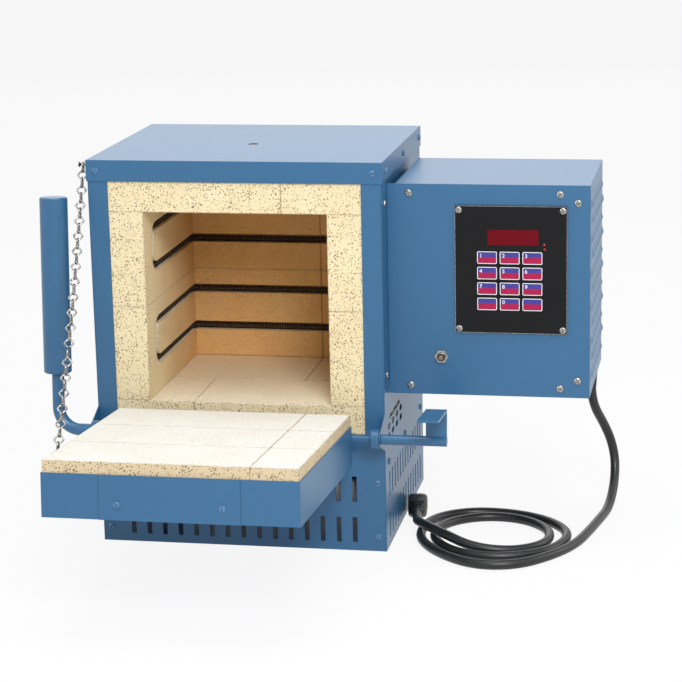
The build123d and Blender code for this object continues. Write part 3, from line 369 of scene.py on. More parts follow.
slot_looks = {
    "blue_paint": blue,
    "firebrick": wall_brick,
    "plain_steel": mill_steel,
    "element_wire": coil_wire,
    "porcelain": porcelain,
    "probe_sheath": sheath,
    "black_face": face_black,
    "red_window": window_red,
    "key_film": face_black,
    "board": board_green,
    "core_steel": core_steel,
    "black_moulding": moulding,
    "bright_steel": plated,
    "white_button": button_bronze,
    "painted_screw": lit_blue_screw,
    "black_rubber": rubber,
    "blue_part": blue_bar,
    "bar_steel": blue_bar,
    "weight_paint": blue_bar,
    "lever_paint": blue_bar,
    "chain_steel": chain_steel,
}
node_slot = {part["node"]: part["material_slot"] for part in frame["record"]["subparts"]}
for node_name, obj in frame["nodes"].items():
    look = door_brick if node_name == "door_bricks" else slot_looks[node_slot[node_name]]
    obj.data.materials.clear()
    obj.data.materials.append(look)


def mesh_piece(name, verts, faces, smooth=True):
    """A mesh object from vertices and faces."""
    mesh = bpy.data.meshes.new(name)
    mesh.from_pydata([tuple(v) for v in verts], [], faces)
    mesh.validate()
    mesh.update()
    for polygon in mesh.polygons:
        polygon.use_smooth = smooth
    return link(name, mesh)


def ring_frames(points, closed):
    """A right and an up vector at each point, carried along the path without twist."""
    count = len(points)
    frames = []
    last = None
    for i in range(count):
        before = points[(i - 1) % count] if closed or i > 0 else points[i]
        after = points[(i + 1) % count] if closed or i < count - 1 else points[i]
        heading = (after - before).normalized()
        if last is None:
            pick = Vector((0, 0, 1)) if abs(heading.z) < 0.9 else Vector((1, 0, 0))
            last = heading.cross(pick).normalized()
        right = (last - heading * last.dot(heading)).normalized()
        last = right
        frames.append((right, heading.cross(right).normalized()))
    return frames


def skin(faces, start, rings, sides, closed=False):
    """Faces over rings of points, with end caps unless the rings close on themselves."""
    for i in range(rings if closed else rings - 1):
        a = start + i * sides
        b = start + (i + 1) % rings * sides
        for k in range(sides):
            m = (k + 1) % sides
            faces.append((a + k, a + m, b + m, b + k))
    if not closed:
        faces.append(tuple(start + k for k in reversed(range(sides))))
        faces.append(tuple(start + (rings - 1) * sides + k for k in range(sides)))


def add_tube(verts, faces, points, radius, sides, closed=False):
    """Append a round tube along a path to a mesh being built."""
    start = len(verts)
    for point, (right, up) in zip(points, ring_frames(points, closed)):
        for k in range(sides):
            angle = 2 * math.pi * k / sides
            verts.append(point + right * (radius * math.cos(angle)) + up * (radius * math.sin(angle)))
    skin(faces, start, len(points), sides, closed)


def lathe(verts, faces, place, profile, sides):
    """Append a turned form, its profile in (radius, height) pairs of mm along the place's Z."""
    start = len(verts)
    for r, z in profile:
        radius = r * MM
        height = z * MM
        for k in range(sides):
            angle = 2 * math.pi * k / sides
            verts.append(place @ Vector((radius * math.cos(angle), radius * math.sin(angle), height)))
    skin(faces, start, len(profile), sides)


def facing(point, normal, turn=0.0):
    """A frame at a point whose Z is the normal."""
    z = Vector(normal).normalized()
    pick = Vector((0, 0, 1)) if abs(z.z) < 0.9 else Vector((0, 1, 0))
    x = pick.cross(z).normalized()
    y = z.cross(x)
    base = Matrix((x, y, z)).transposed().to_4x4()
    return Matrix.Translation(Vector(point)) @ base @ Matrix.Rotation(turn, 4, "Z")


def box_mm(node):
    """The lowest and highest corners of a CAD node, in millimetres."""
    return tuple(Vector(corner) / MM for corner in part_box(node))


# Mains cord, with the route's points from the CAD source, some moved to follow the photograph
cord_d = 11.6
lie = 5.9
climb = 11.0
hump = 19.5
plug_z = 12.5
exit_x = 404.0
exit_y = 66.0
exit_z = 168.4
cord_points = [
    (exit_x, exit_y, exit_z),
    (exit_x, exit_y, 149.0),
    (408.5, 73.0, 125.8),
    (417.0, 88.0, 105.0),
    (427.0, 95.0, 80.5),
    (433.0, 94.0, 54.5),
    (433.5, 81.0, 31.0),
    (431.5, 60.0, 14.8),
    (428.0, 30.0, lie),
    (421.0, -8.0, lie),
    (411.5, -57.0, lie),
    (400.0, -106.0, lie),
    (376.0, -150.0, lie),
    (338.0, -190.0, lie),
    (288.0, -196.0, lie),
    (243.0, -163.0, lie),
    (212.0, -116.0, lie),
    (207.0, -67.0, lie),
    (222.0, -22.0, lie),
    (264.0, 3.0, lie),
    (316.0, 0.0, lie),
    (362.0, -24.0, lie),
    (391.0, -70.0, lie),
    (379.0, -124.0, lie),
    (345.0, -156.0, lie),
    (294.0, -169.0, lie),
    (247.0, -145.0, lie),
    (223.0, -96.0, lie),
    (233.0, -46.0, lie),
    (276.0, -14.0, lie),
    (328.0, -19.0, lie),
    (365.0, -58.0, lie),
    (367.0, -109.0, lie),
    (330.0, -143.0, lie),
    (281.0, -150.0, climb),
    (240.0, -124.0, hump),
    (205.0, -86.0, hump),
    (199.0, -56.0, plug_z),
    (196.0, -34.0, plug_z),
]
curve = bpy.data.curves.new("mains_cord", "CURVE")
curve.dimensions = "3D"
curve.bevel_depth = cord_d / 2 * MM
curve.bevel_resolution = 5
curve.resolution_u = 6
curve.use_fill_caps = True
spline = curve.splines.new("NURBS")
spline.points.add(len(cord_points) - 1)
for point, spot in zip(spline.points, cord_points):
    point.co = (spot[0] * MM, spot[1] * MM, spot[2] * MM, 1.0)
spline.order_u = 3
spline.use_endpoint_u = True
cord = link("mains_cord", curve)
finish_piece(cord, "cabinet", "black_rubber", rubber, "power_cord")

# Plug: moulded body with grip ribs, as sections of (height, half width, squareness)
plug_way = (Vector(cord_points[-1]) - Vector(cord_points[-2])).normalized()
plug_place = facing(Vector(cord_points[-1]) * MM, plug_way)
plug_l = 44.0
plug_sides = 32
grip_ribs = 4
grip_start = 18.5
grip_pitch = 4.4
sections = [
    (0.0, 6.3, 2.0),
    (1.5, 7.4, 2.0),
    (3.2, 7.6, 2.0),
    (3.6, 6.9, 2.0),
    (5.0, 6.9, 2.0),
    (5.4, 8.0, 2.0),
    (7.0, 8.1, 2.2),
    (7.4, 7.4, 2.2),
    (8.8, 7.4, 2.2),
    (9.2, 8.7, 2.4),
    (11.5, 9.2, 2.8),
    (14.0, 10.2, 3.4),
    (17.0, 11.6, 4.2),
]
for i in range(grip_ribs):
    z = grip_start + grip_pitch * i
    sections.extend([(z, 11.9, 4.6), (z + 0.5, 11.2, 4.6), (z + 1.9, 11.2, 4.6), (z + 2.4, 11.9, 4.6)])
sections.extend([(37.0, 12.2, 5.0), (42.4, 12.4, 5.0), (43.6, 12.0, 5.0), (plug_l, 11.2, 5.0)])


def squircle(place, half, height, power, sides):
    """One section of a rounded square, as points."""
    points = []
    for k in range(sides):
        angle = 2 * math.pi * k / sides
        c = math.cos(angle)
        s = math.sin(angle)
        reach = half / (abs(c) ** power + abs(s) ** power) ** (1 / power)
        points.append(place @ Vector((reach * c, reach * s, height)))
    return points


verts, faces = [], []
for height, half, power in sections:
    verts.extend(squircle(plug_place, half * MM, height * MM, power, plug_sides))
skin(faces, 0, len(sections), plug_sides)
plug = mesh_piece("plug_body", verts, faces)
finish_piece(plug, "cabinet", "black_rubber", rubber, "cord_plug")


def rounded_bar(verts, faces, place, width, thick, length, nose):
    """A flat blade with a tapered nose along the frame's Z."""
    start = len(verts)
    for z, scale in ((0.0, 1.0), (length - nose, 1.0), (length, 0.62)):
        for x, y in ((-1, -1), (1, -1), (1, 1), (-1, 1)):
            verts.append(place @ Vector((x * width / 2 * scale, y * thick / 2, z)))
    for ring in (0, 4):
        for k in range(4):
            m = (k + 1) % 4
            a = start + ring
            faces.append((a + k, a + m, a + 4 + m, a + 4 + k))
    faces.append((start + 3, start + 2, start + 1, start))
    faces.append((start + 8, start + 9, start + 10, start + 11))


# The plug's two blades and its ground pin
blade_gap = 6.35
blade_rise = 1.5
blade_t = 1.5
blade_w = 6.3
blade_l = 17.0
blade_nose = 2.0
pin_drop = 6.4
pin_profile = [(2.4, 0.0), (2.4, 15.0), (1.9, 16.4), (0.9, 17.0)]
verts, faces = [], []
for offset in (-blade_gap, blade_gap):
    place = plug_place @ Matrix.Translation(Vector((offset * MM, blade_rise * MM, plug_l * MM)))
    rounded_bar(verts, faces, place, blade_t * MM, blade_w * MM, blade_l * MM, blade_nose * MM)
pin_place = plug_place @ Matrix.Translation(Vector((0.0, -pin_drop * MM, plug_l * MM)))
lathe(verts, faces, pin_place, pin_profile, sides=16)
blades = mesh_piece("plug_blades", verts, faces, False)
finish_piece(blades, "cabinet", "black_rubber", brass)

# Strain relief: a ribbed taper from the box's underside down the cord
relief_top = 188.4
relief_ribs = 7
profile = [(9.0, 0.0), (9.0, -2.6), (8.4, -3.0)]
for i in range(relief_ribs):
    z = -4.0 - i * 4.0
    r = 8.2 - 0.24 * i
    profile.extend([(r, z), (r, z - 2.2), (r - 0.6, z - 2.6), (r - 0.6, z - 3.6)])
profile.extend([(6.5, -32.8), (6.2, -34.0), (5.3, -34.0)])
verts, faces = [], []
relief_place = Matrix.Translation(Vector((exit_x, exit_y, relief_top)) * MM)
lathe(verts, faces, relief_place, profile[::-1], sides=24)
relief = mesh_piece("cord_strain_relief", verts, faces, False)
finish_piece(relief, "cabinet", "black_rubber", moulding, "cord_gland")

# Heating elements: wound wire lying in the grooves
coil_x = 117.3
coil_y = 90.25
coil_front = -104.5
terminal_y = -70.0
coil_corner = 14.0
corner_steps = 8
coil_r = 3.45
wire_r = 0.62
coil_pitch = 2.25
turn_steps = 9
seat_drop = 1.05
floor_z = 179.3
course_h = 115.6
row_low = 0.3486 * course_h
row_pitch = 0.4247 * course_h


def round_corners(points, radius, step):
    """A polyline with arcs at its corners, sampled at even steps."""
    path = [points[0]]
    for before, corner, after in zip(points, points[1:], points[2:]):
        into = (corner - before).normalized()
        out = (after - corner).normalized()
        start = corner - into * radius
        end = corner + out * radius
        centre = start + out * radius
        path.append(start)
        for i in range(1, corner_steps):
            angle = math.pi / 2 * i / corner_steps
            path.append(centre - out * (radius * math.cos(angle)) + into * (radius * math.sin(angle)))
        path.append(end)
    path.append(points[-1])
    even = [path[0]]
    left = step
    for a, b in zip(path, path[1:]):
        run = (b - a).length
        done = left
        while done <= run:
            even.append(a + (b - a) * (done / run))
            done = done + step
        left = done - run
    return even


def wound_element(name, node, low, high):
    """One element's wire, wound round its run through the grooves."""
    corners = [
        (coil_x, terminal_y, high),
        (coil_x, coil_y, high),
        (-coil_x, coil_y, high),
        (-coil_x, coil_front, high),
        (-coil_x, coil_front, low),
        (-coil_x, coil_y, low),
        (coil_x, coil_y, low),
        (coil_x, terminal_y, low),
    ]
    run = round_corners([Vector(c) for c in corners], coil_corner, coil_pitch / turn_steps)
    wire = []
    for i, (point, (right, up)) in enumerate(zip(run, ring_frames(run, False))):
        angle = 2 * math.pi * i / turn_steps
        wire.append((point + right * (coil_r * math.cos(angle)) + up * (coil_r * math.sin(angle))) * MM)
    verts, faces = [], []
    add_tube(verts, faces, wire, wire_r * MM, sides=5)
    piece = mesh_piece(name, verts, faces)
    finish_piece(piece, "cabinet", "element_wire", coil_wire, node)


rows = [floor_z + row_low, floor_z + row_low + row_pitch]
for level, rise in (("lower", 0.0), ("upper", course_h)):
    low, high = (z + rise - seat_drop for z in rows)
    wound_element("element_coil_" + level, "element_" + level, low, high)

# The door's frame, with the CAD's values
cabinet_x = 177.8
door_x = 142.1
hinge = Vector((0.0, -174.35, 148.8))
tilt = math.radians(4.6)
door_out = Vector((0.0, -math.cos(tilt), math.sin(tilt)))
door_up = Vector((0.0, math.sin(tilt), math.cos(tilt)))
pan_back = 4.2
door_l = 294.6
sheet = 1.2
face_up = 29.1
brick_proud = 13.8
pan_deep = 49.2
flap_screw_x = 58.0
flap_screw_up = 17.0
pan_floor = face_up - brick_proud - pan_deep
flap_out = pan_back + door_l + sheet

# Chain: each link two loops of round wire at right angles, placed as in the CAD and joined by a twist
wire_d = 2.2
wire_seen = 2.15
loop_seen_w = 10.4
loop_point = 1.5
loop_steps = 28
twist_turns = 1.35
twist_steps = 18
twist_h = 3.2
twist_r = 1.6
twist_wire = 0.4
link_count = 19
upper_links = 12
link_clear = 0.25
open_gap = 0.5
shank_d = 3.4
chain_sag = 12.0
chain_top = Vector((-187.0, -126.0, 464.0))
pin_out = 7.0
pin_along = 224.0
pin_rise = 8.0
chain_end = hinge + Vector((-door_x - pin_out, 0, 0)) + door_out * pin_along + door_up * pin_rise
chord = chain_end - chain_top
arc_radius = (chord.length ** 2 / 4 + chain_sag ** 2) / (2 * chain_sag)
half_angle = math.asin(chord.length / 2 / arc_radius)
arc_length = 2 * arc_radius * half_angle
pin_reach = shank_d / 2 + wire_d / 2 + link_clear
hook = wire_d + link_clear
loop_l = (arc_length + 2 * pin_reach + link_count * hook - hook - wire_d - open_gap) / (2 * link_count + 1)
link_l = 2 * loop_l
along_chord = chord.normalized()
sideways = along_chord.cross(Vector((0, 0, 1))).normalized()
sag_dir = along_chord.cross(sideways).normalized()
if sag_dir.z > 0:
    sag_dir = -sag_dir


def chain_at(s):
    """Point and direction of the chain at a length s from the top screw."""
    angle = s / arc_radius - half_angle
    centre = chain_top + along_chord * (chord.length / 2) - sag_dir * (arc_radius - chain_sag)
    point = centre + sag_dir * (arc_radius * math.cos(angle)) + along_chord * (arc_radius * math.sin(angle))
    return point, along_chord * math.cos(angle) - sag_dir * math.sin(angle)


def add_loop(verts, faces, top, down, across, length):
    """One rounded diamond of wire from its end at top, opening along down."""
    half_w = loop_seen_w / 2
    points = []
    for i in range(loop_steps):
        angle = 2 * math.pi * i / loop_steps
        c = math.cos(angle)
        s = math.sin(angle)
        reach_w = half_w * math.copysign(abs(s) ** loop_point, s)
        reach_l = length / 2 * math.copysign(abs(c) ** loop_point, c)
        points.append((top + down * (length / 2 + reach_l) + across * reach_w) * MM)
    add_tube(verts, faces, points, wire_seen / 2 * MM, sides=8, closed=True)


def add_twist(verts, faces, middle, down, across, flat):
    """The wire's end wound round the neck between the two loops."""
    points = []
    for i in range(twist_steps + 1):
        angle = 2 * math.pi * twist_turns * i / twist_steps
        rise = (i / twist_steps - 0.5) * twist_h
        swing = across * math.cos(angle) + flat * math.sin(angle)
        points.append((middle + down * rise + swing * twist_r) * MM)
    add_tube(verts, faces, points, twist_wire * wire_seen * MM, sides=7)


def add_link(verts, faces, s, loops):
    """A link whose top bar lies at length s down the chain."""
    middle, down = chain_at(s + loops * loop_l / 2)
    top = middle - down * (loops * loop_l / 2)
    across = (sideways - down * sideways.dot(down)).normalized()
    flat = down.cross(across)
    add_loop(verts, faces, top, down, flat, loop_l)
    if loops == 2:
        add_loop(verts, faces, top + down * loop_l, down, across, loop_l)
        add_twist(verts, faces, top + down * loop_l, down, across, flat)


link_starts = []
s = -pin_reach
for i in range(link_count + 1):
    link_starts.append(s)
    s = s + (link_l + wire_d + open_gap if i == upper_links - 1 else link_l - hook)

loops_of = [2] * link_count + [1]
for half, first, last in (("upper", 0, upper_links), ("lower", upper_links, link_count + 1)):
    verts, faces = [], []
    for i in range(first, last):
        add_link(verts, faces, link_starts[i], loops_of[i])
    links = mesh_piece("chain_links_" + half, verts, faces)
    finish_piece(links, "chain_" + half, "chain_steel", chain_steel, "chain_" + half)


# Prints: flat patches and borders with rounded corners, each box as (x0, x1, z0, z1)
corner_spots = 4
figure_weight = 0.00008


def rounded_outline(box, corner, inset=0.0):
    """Spots round a box with rounded corners, moved in by the inset."""
    x0, x1, z0, z1 = box
    left = x0 + corner
    right = x1 - corner
    low = z0 + corner
    high = z1 - corner
    reach = corner - inset
    spots = []
    for quarter, (x, z) in enumerate(((right, high), (left, high), (left, low), (right, low))):
        for i in range(corner_spots + 1):
            angle = math.pi / 2 * (quarter + i / corner_spots)
            spots.append((x + reach * math.cos(angle), z + reach * math.sin(angle)))
    return spots


def print_piece(name, spots, y, faces, body, slot_name, mat):
    """A printed form at one depth, facing the front."""
    verts = [Vector((x, y, z)) * MM for x, z in spots]
    finish_piece(mesh_piece(name, verts, faces, False), body, slot_name, mat)


def patch(name, box, y, corner, body, slot_name, mat):
    """A thin printed patch."""
    spots = rounded_outline(box, corner)
    print_piece(name, spots, y, [tuple(range(len(spots)))], body, slot_name, mat)


def border(name, box, y, corner, width, body, slot_name, mat):
    """A thin printed border."""
    outer = rounded_outline(box, corner)
    inner = rounded_outline(box, corner, width)
    count = len(outer)
    faces = []
    for i in range(count):
        m = (i + 1) % count
        faces.append((i, m, count + m, count + i))
    print_piece(name, outer + inner, y, faces, body, slot_name, mat)


def number(name, text, x, z, y, size):
    """A plain number as a flat mesh facing the front."""
    data = bpy.data.curves.new(name, "FONT")
    data.body = text
    data.size = size * MM
    data.align_x = "LEFT"
    data.align_y = "TOP"
    data.offset = figure_weight
    piece = link(name + "_text", data)
    piece.matrix_world = Matrix.Translation(Vector((x, y, z)) * MM) @ Matrix.Rotation(math.pi / 2, 4, "X")
    bpy.context.view_layer.update()
    depsgraph = bpy.context.evaluated_depsgraph_get()
    mesh = bpy.data.meshes.new_from_object(piece.evaluated_get(depsgraph))
    mesh.transform(piece.matrix_world)
    bpy.data.objects.remove(piece)
    return link(name, mesh)


# Keypad: printed bands, border and plain numbers on each key
key_names = ["1", "2", "3", "4", "5", "6", "7", "8", "9", "left", "0", "right"]
key_face_y = -113.5
key_w = 24.2
key_h = 15.8
key_mid_x = 321.7
key_mid_z = 328.7
key_pitch_x = 26.6
key_pitch_z = 18.5
border_in = 0.5
border_w = 0.9
border_corner = 1.6
band_in = 1.7
band_corner = 0.5
band_split = 0.6
band_y = key_face_y - 0.04
border_y = key_face_y - 0.06
number_y = key_face_y - 0.09
number_h = 6.4
number_in_x = 3.2
number_in_z = 2.4
for i, key_name in enumerate(key_names):
    body = "key_" + key_name
    x = key_mid_x + (i % 3 - 1) * key_pitch_x
    z = key_mid_z - (i // 3 - 1.5) * key_pitch_z
    x0 = x - key_w / 2
    x1 = x + key_w / 2
    z0 = z - key_h / 2
    z1 = z + key_h / 2
    edge_box = (x0 + border_in, x1 - border_in, z0 + border_in, z1 - border_in)
    border(body + "_border", edge_box, border_y, border_corner, border_w, body, "key_film", white_ink)
    upper_box = (x0 + band_in, x1 - band_in, z + band_split, z1 - band_in)
    patch(body + "_violet", upper_box, band_y, band_corner, body, "key_film", violet_ink)
    lower_box = (x0 + band_in, x1 - band_in, z0 + band_in, z + band_split)
    patch(body + "_crimson", lower_box, band_y, band_corner, body, "key_film", crimson_ink)
    if key_name.isdigit():
        figure = number(body + "_number", key_name, x0 + number_in_x, z1 - number_in_z, number_y, number_h)
        finish_piece(figure, body, "key_film", white_ink)

# Bright cut edge of the controller's printed plate
face_low, face_high = box_mm("controller_face")
edge_in = 0.1
edge_w = 0.4
edge_corner = 1.0
edge_y = face_low.y - 0.03
edge_box = (face_low.x + edge_in, face_high.x - edge_in, face_low.z + edge_in, face_high.z - edge_in)
border("face_edge", edge_box, edge_y, edge_corner, edge_w, "cabinet", "black_face", plated)

# Two pilot lamps beside the window
lamp_y = -112.95
lamp_spots = [(362.1, 372.6), (362.7, 367.2)]
lamp_profile = [(1.5, 0.0), (1.45, 0.35), (1.1, 0.75), (0.5, 0.95)]
verts, faces = [], []
for x, z in lamp_spots:
    place = facing(Vector((x, lamp_y, z)) * MM, (0, -1, 0))
    lathe(verts, faces, place, lamp_profile, sides=16)
finish_piece(mesh_piece("pilot_lamps", verts, faces), "cabinet", "black_face", lamp_red)

# Screws: pan heads with a cross or slot recess, cut once and set at each place
rng = random.Random(7)
head_dome = [(1.0, 0.0), (1.0, 0.28), (0.93, 0.62), (0.74, 0.87), (0.4, 0.98), (0.12, 1.0)]
recess_w = 0.3
cross_l = 1.35
slot_l = 2.4
recess_from = 0.42


def head_mesh(name, radius, height, slotted):
    """A pan head with its drive recess, as a mesh with Z outwards."""
    verts, faces = [], []
    profile = [(radius * r, height * h) for r, h in head_dome]
    lathe(verts, faces, Matrix.Identity(4), profile, sides=30)
    head = mesh_piece(name, verts, faces)
    bars = [(radius * (slot_l if slotted else cross_l), radius * recess_w)]
    if not slotted:
        bars.append((bars[0][1], bars[0][0]))
    place = Matrix.Translation(Vector((0, 0, height * recess_from)) * MM)
    cutters = []
    for width, thick in bars:
        cut_verts, cut_faces = [], []
        rounded_bar(cut_verts, cut_faces, place, width * MM, thick * MM, height * MM, 0.1 * MM)
        cutters.append(mesh_piece(name + "_cut", cut_verts, cut_faces, False))
    for cutter in cutters:
        boolean = head.modifiers.new("recess", "BOOLEAN")
        boolean.object = cutter
        boolean.operation = "DIFFERENCE"
        boolean.solver = "EXACT"
    bpy.context.view_layer.update()
    depsgraph = bpy.context.evaluated_depsgraph_get()
    mesh = bpy.data.meshes.new_from_object(head.evaluated_get(depsgraph))
    for unwanted in [head] + cutters:
        bpy.data.objects.remove(unwanted)
    return mesh


def screw_shank(name, start, end, body, slot_name, mat):
    """The visible shank of a screw that stands proud."""
    verts, faces = [], []
    add_tube(verts, faces, [start * MM, end * MM], shank_d / 2 * MM, sides=14)
    return finish_piece(mesh_piece(name, verts, faces), body, slot_name, mat)


def set_screws(name, pattern, places, body, slot_name, mat, *nodes):
    """Copies of one head at each place, turned at random."""
    bm = bmesh.new()
    for point, normal in places:
        copy = pattern.copy()
        copy.transform(facing(Vector(point) * MM, normal, rng.uniform(0, math.pi)))
        bm.from_mesh(copy)
        bpy.data.meshes.remove(copy)
    mesh = bpy.data.meshes.new(name)
    bm.to_mesh(mesh)
    bm.free()
    piece = link(name, mesh)
    for polygon in mesh.polygons:
        polygon.use_smooth = False
    return finish_piece(piece, body, slot_name, mat, *nodes)


pan_slot = head_mesh("pan_slot", 4.0, 2.2, True)
pan_cross = head_mesh("pan_cross", 4.0, 2.2, False)
pan_large = head_mesh("pan_large", 4.3, 2.2, False)
pan_small = head_mesh("pan_small", 3.3, 1.9, True)

# Screws of the cabinet: the chain's own screw takes the left front place under the lid
wall_x = 176.5
post_x = 166.5
lip_z = 460.1
lid_y = 147.35
body_y = 146.05
base_rows = (18.5, 85.5)
lid_side_y = (-122.0, 8.0, 134.0)
wall_side_y = (-121.0, 0.0, 125.0)
wall_row_z = 106.0
places = []
for x in (-post_x, post_x):
    for y in (-1, 1):
        places.append(((x, y * lid_y, lip_z), (0, y, 0)))
        for z in base_rows:
            places.append(((x, y * body_y, z), (0, y, 0)))
for y in lid_side_y:
    places.append(((cabinet_x, y, lip_z), (1, 0, 0)))
    if y != lid_side_y[0]:
        places.append(((-cabinet_x, y, lip_z), (-1, 0, 0)))
for y in wall_side_y:
    for side in (-1, 1):
        places.append(((side * wall_x, y, wall_row_z), (side, 0, 0)))
set_screws("case_screw_heads", pan_slot, places, "cabinet", "painted_screw", lit_blue_screw, "case_screws")
top_spot = Vector((chain_top.x - 2 * wire_d, chain_top.y, chain_top.z))
top_foot = Vector((-cabinet_x, chain_top.y, chain_top.z))
set_screws("chain_top_head", pan_small, [(top_spot, (-1, 0, 0))], "cabinet", "bright_steel", plated)
screw_shank("chain_top_shank", top_spot, top_foot, "cabinet", "bright_steel", plated)

# Screws of the control plate, of the controller's face and of the flange on the cabinet's wall
plate_y = -110.0
plate_spots = [
    (202.6, 199.2),
    (202.6, 431.6),
    (380.5, 199.2),
    (380.5, 431.6),
    (401.2, 209.2),
    (401.2, 421.6),
]
face_y = -113.0
face_mid_x = 323.0
face_mid_z = 341.8
face_half_x = 61.0
face_half_z = 71.0
flange_y = -126.0
flange_rows = (215.0, 421.7)
places = [((x, plate_y, z), (0, -1, 0)) for x, z in plate_spots]
set_screws("plate_screw_heads", pan_large, places, "cabinet", "bright_steel", plated, "control_screws")
places = []
for i in (-1, 1):
    for j in (-1, 1):
        places.append(((face_mid_x + i * face_half_x, face_y, face_mid_z + j * face_half_z), (0, -1, 0)))
for z in flange_rows:
    places.append(((wall_x, flange_y, z), (1, 0, 0)))
set_screws("face_screw_heads", pan_cross, places, "cabinet", "bright_steel", plated)

# Screws of the door: two on its front, and the one that holds the chain's end
pin_stand = pin_out + 2 * wire_d
places = []
for x in (-flap_screw_x, flap_screw_x):
    spot = hinge + Vector((x, 0, 0)) + door_out * flap_out + door_up * (pan_floor + flap_screw_up)
    places.append((spot, door_out))
pin_head = Vector((-door_x - pin_stand, chain_end.y, chain_end.z))
pin_foot = Vector((-door_x, chain_end.y, chain_end.z))
places.append((pin_head, (-1, 0, 0)))
set_screws("door_screw_heads", pan_slot, places, "door", "painted_screw", lit_blue_screw, "door_screws")
screw_shank("door_pin_shank", pin_head, pin_foot, "door", "painted_screw", lit_blue_screw)

# Soft swells over the raised spots on the control box's right side, as one sheet
swell_rows = 11
swell_cols = 6
swell_pitch_y = 27.0
swell_pitch_z = 20.4
swell_stagger = 0.5
swell_out = 3.1
swell_y = 8.0
swell_z = 4.2
swell_reach = 16.0
panel_x = 415.2
panel_in = 0.8
panel_lift = 0.12
rim_sink = 0.4
panel_cols = 126
panel_rows = 170
shell_low, shell_high = box_mm("control_shell")
panel_mid = (shell_low + shell_high) / 2
panel_w = shell_high.y - shell_low.y - 2 * panel_in
panel_h = shell_high.z - shell_low.z - 2 * panel_in
swells = []
for i in range(swell_rows):
    for j in range(swell_cols):
        across = j - (swell_cols - 1) / 2 + swell_stagger * (i % 2 - 0.5)
        up = i - (swell_rows - 1) / 2
        swells.append((panel_mid.y + across * swell_pitch_y, panel_mid.z + up * swell_pitch_z))


def swell_height(y, z):
    """How far the pressed sheet stands out at a spot."""
    height = 0.0
    for mid_y, mid_z in swells:
        reach = ((y - mid_y) / swell_y) ** 2 + ((z - mid_z) / swell_z) ** 2
        if reach < swell_reach:
            height = height + swell_out * math.exp(-reach / 2)
    return height


verts, faces = [], []
for i in range(panel_rows + 1):
    for j in range(panel_cols + 1):
        y = shell_low.y + panel_in + panel_w * j / panel_cols
        z = shell_low.z + panel_in + panel_h * i / panel_rows
        rim = i in (0, panel_rows) or j in (0, panel_cols)
        out = -rim_sink if rim else panel_lift + swell_height(y, z)
        verts.append(Vector((panel_x + out, y, z)) * MM)
for i in range(panel_rows):
    for j in range(panel_cols):
        a = i * (panel_cols + 1) + j
        faces.append((a, a + 1, a + panel_cols + 2, a + panel_cols + 1))
finish_piece(mesh_piece("louvre_panel", verts, faces), "cabinet", "blue_paint", blue)

# Thread on the breaker's bushing, in front of its nut
breaker_x = 240.0
breaker_z = 235.3
thread_y = plate_y - 3.2
thread_r = 4.65
thread_l = 4.0
thread_turns = 5
thread_steps = 20
thread_wire_r = 0.3
verts, faces = [], []
thread = []
for i in range(thread_turns * thread_steps + 1):
    angle = 2 * math.pi * i / thread_steps
    y = thread_y - thread_l * i / (thread_turns * thread_steps)
    spot = Vector((breaker_x + thread_r * math.cos(angle), y, breaker_z + thread_r * math.sin(angle)))
    thread.append(spot * MM)
add_tube(verts, faces, thread, thread_wire_r * MM, sides=6)
finish_piece(mesh_piece("breaker_thread", verts, faces), "cabinet", "black_moulding", plated)


# Floor and world, both plain white to the kinds of ray that see the background
def rays_of(tree, *kinds):
    """1 for these kinds of ray and 0 for the others."""
    rays = tree.nodes.new("ShaderNodeLightPath")
    share = rays.outputs[kinds[0]]
    for kind in kinds[1:]:
        either = tree.nodes.new("ShaderNodeMath")
        either.operation = "MAXIMUM"
        tree.links.new(share, either.inputs[0])
        tree.links.new(rays.outputs[kind], either.inputs[1])
        share = either.outputs[0]
    return share


def blend_to(tree, share, plain, white, output):
    """Show the plain shader, and the white one by its share."""
    blend = tree.nodes.new("ShaderNodeMixShader")
    for socket, source in zip(blend.inputs, (share, plain.outputs[0], white.outputs[0])):
        tree.links.new(source, socket)
    tree.links.new(blend.outputs[0], tree.nodes[output].inputs["Surface"])


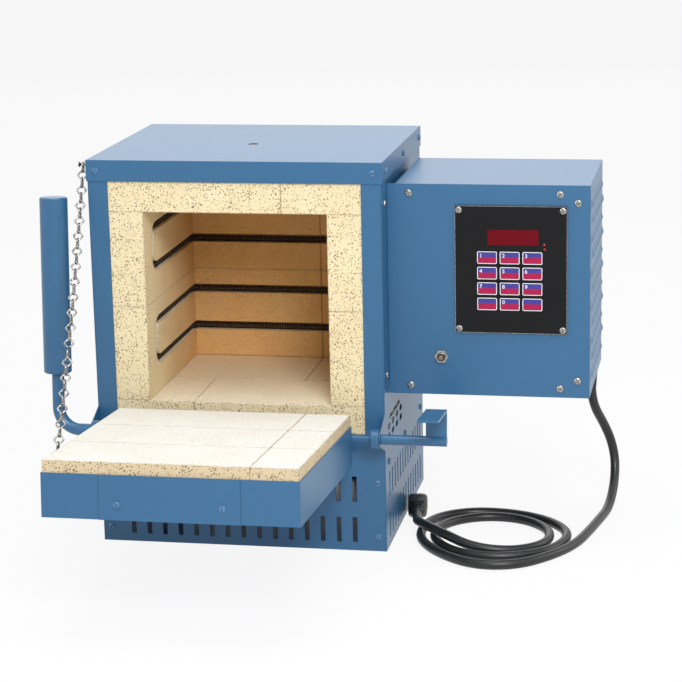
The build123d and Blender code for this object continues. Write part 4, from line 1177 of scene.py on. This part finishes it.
pure_white = (1.0, 1.0, 1.0, 1.0)
floor_mat = bpy.data.materials.new("studio_floor")
floor_mat.use_nodes = True
tree = floor_mat.node_tree
shader = tree.nodes["Principled BSDF"]
shader.inputs["Base Color"].default_value = (0.86, 0.86, 0.86, 1.0)
shader.inputs["Roughness"].default_value = 0.9
shader.inputs["Specular IOR Level"].default_value = 0.2
glow = tree.nodes.new("ShaderNodeEmission")
glow.inputs["Color"].default_value = pure_white
share = tree.nodes.new("ShaderNodeMath")
share.operation = "MULTIPLY"
share.inputs[1].default_value = 0.88
tree.links.new(rays_of(tree, "Is Camera Ray", "Is Glossy Ray"), share.inputs[0])
blend_to(tree, share.outputs[0], shader, glow, "Material Output")
floor_reach = 40.0
floor_drop = 0.0003
corners = [(-1, -1), (1, -1), (1, 1), (-1, 1)]
floor_verts = [(floor_reach * x, floor_reach * y, -floor_drop) for x, y in corners]
floor = mesh_piece("studio_floor", floor_verts, [(0, 1, 2, 3)], False)
floor.data.materials.append(floor_mat)

world = bpy.data.worlds.new("studio")
scene.world = world
world.use_nodes = True
tree = world.node_tree
sky = tree.nodes["Background"]
sky.inputs["Color"].default_value = (0.96, 0.98, 1.0, 1.0)
sky.inputs["Strength"].default_value = 0.42
white = tree.nodes.new("ShaderNodeBackground")
white.inputs["Color"].default_value = pure_white
seen = rays_of(tree, "Is Camera Ray", "Is Glossy Ray", "Is Transmission Ray")
blend_to(tree, seen, sky, white, "World Output")


def soft_light(name, at, target, size, power):
    """A large square lamp aimed at a point, in metres and watts."""
    data = bpy.data.lights.new(name, "AREA")
    data.shape = "SQUARE"
    data.size = size
    data.energy = power
    lamp = link(name, data)
    lamp.location = at
    lamp.rotation_euler = (Vector(target) - Vector(at)).to_track_quat("-Z", "Y").to_euler()


soft_light("overhead", (0.1, -0.3, 2.3), (0.05, -0.1, 0.3), 1.6, 20.0)
soft_light("front_key", (0.95, -2.15, 1.75), (0.0, -0.12, 0.28), 0.8, 41.0)
soft_light("left_fill", (-2.3, -0.9, 1.3), (0.05, -0.1, 0.25), 1.4, 11.0)
soft_light("right_fill", (2.4, 0.7, 1.3), (0.15, -0.1, 0.25), 1.4, 12.0)
soft_light("back_sheen", (-0.7, 4.0, 1.75), (0.0, 0.0, 0.4), 2.3, 12.0)

scene.view_settings.view_transform = "Standard"
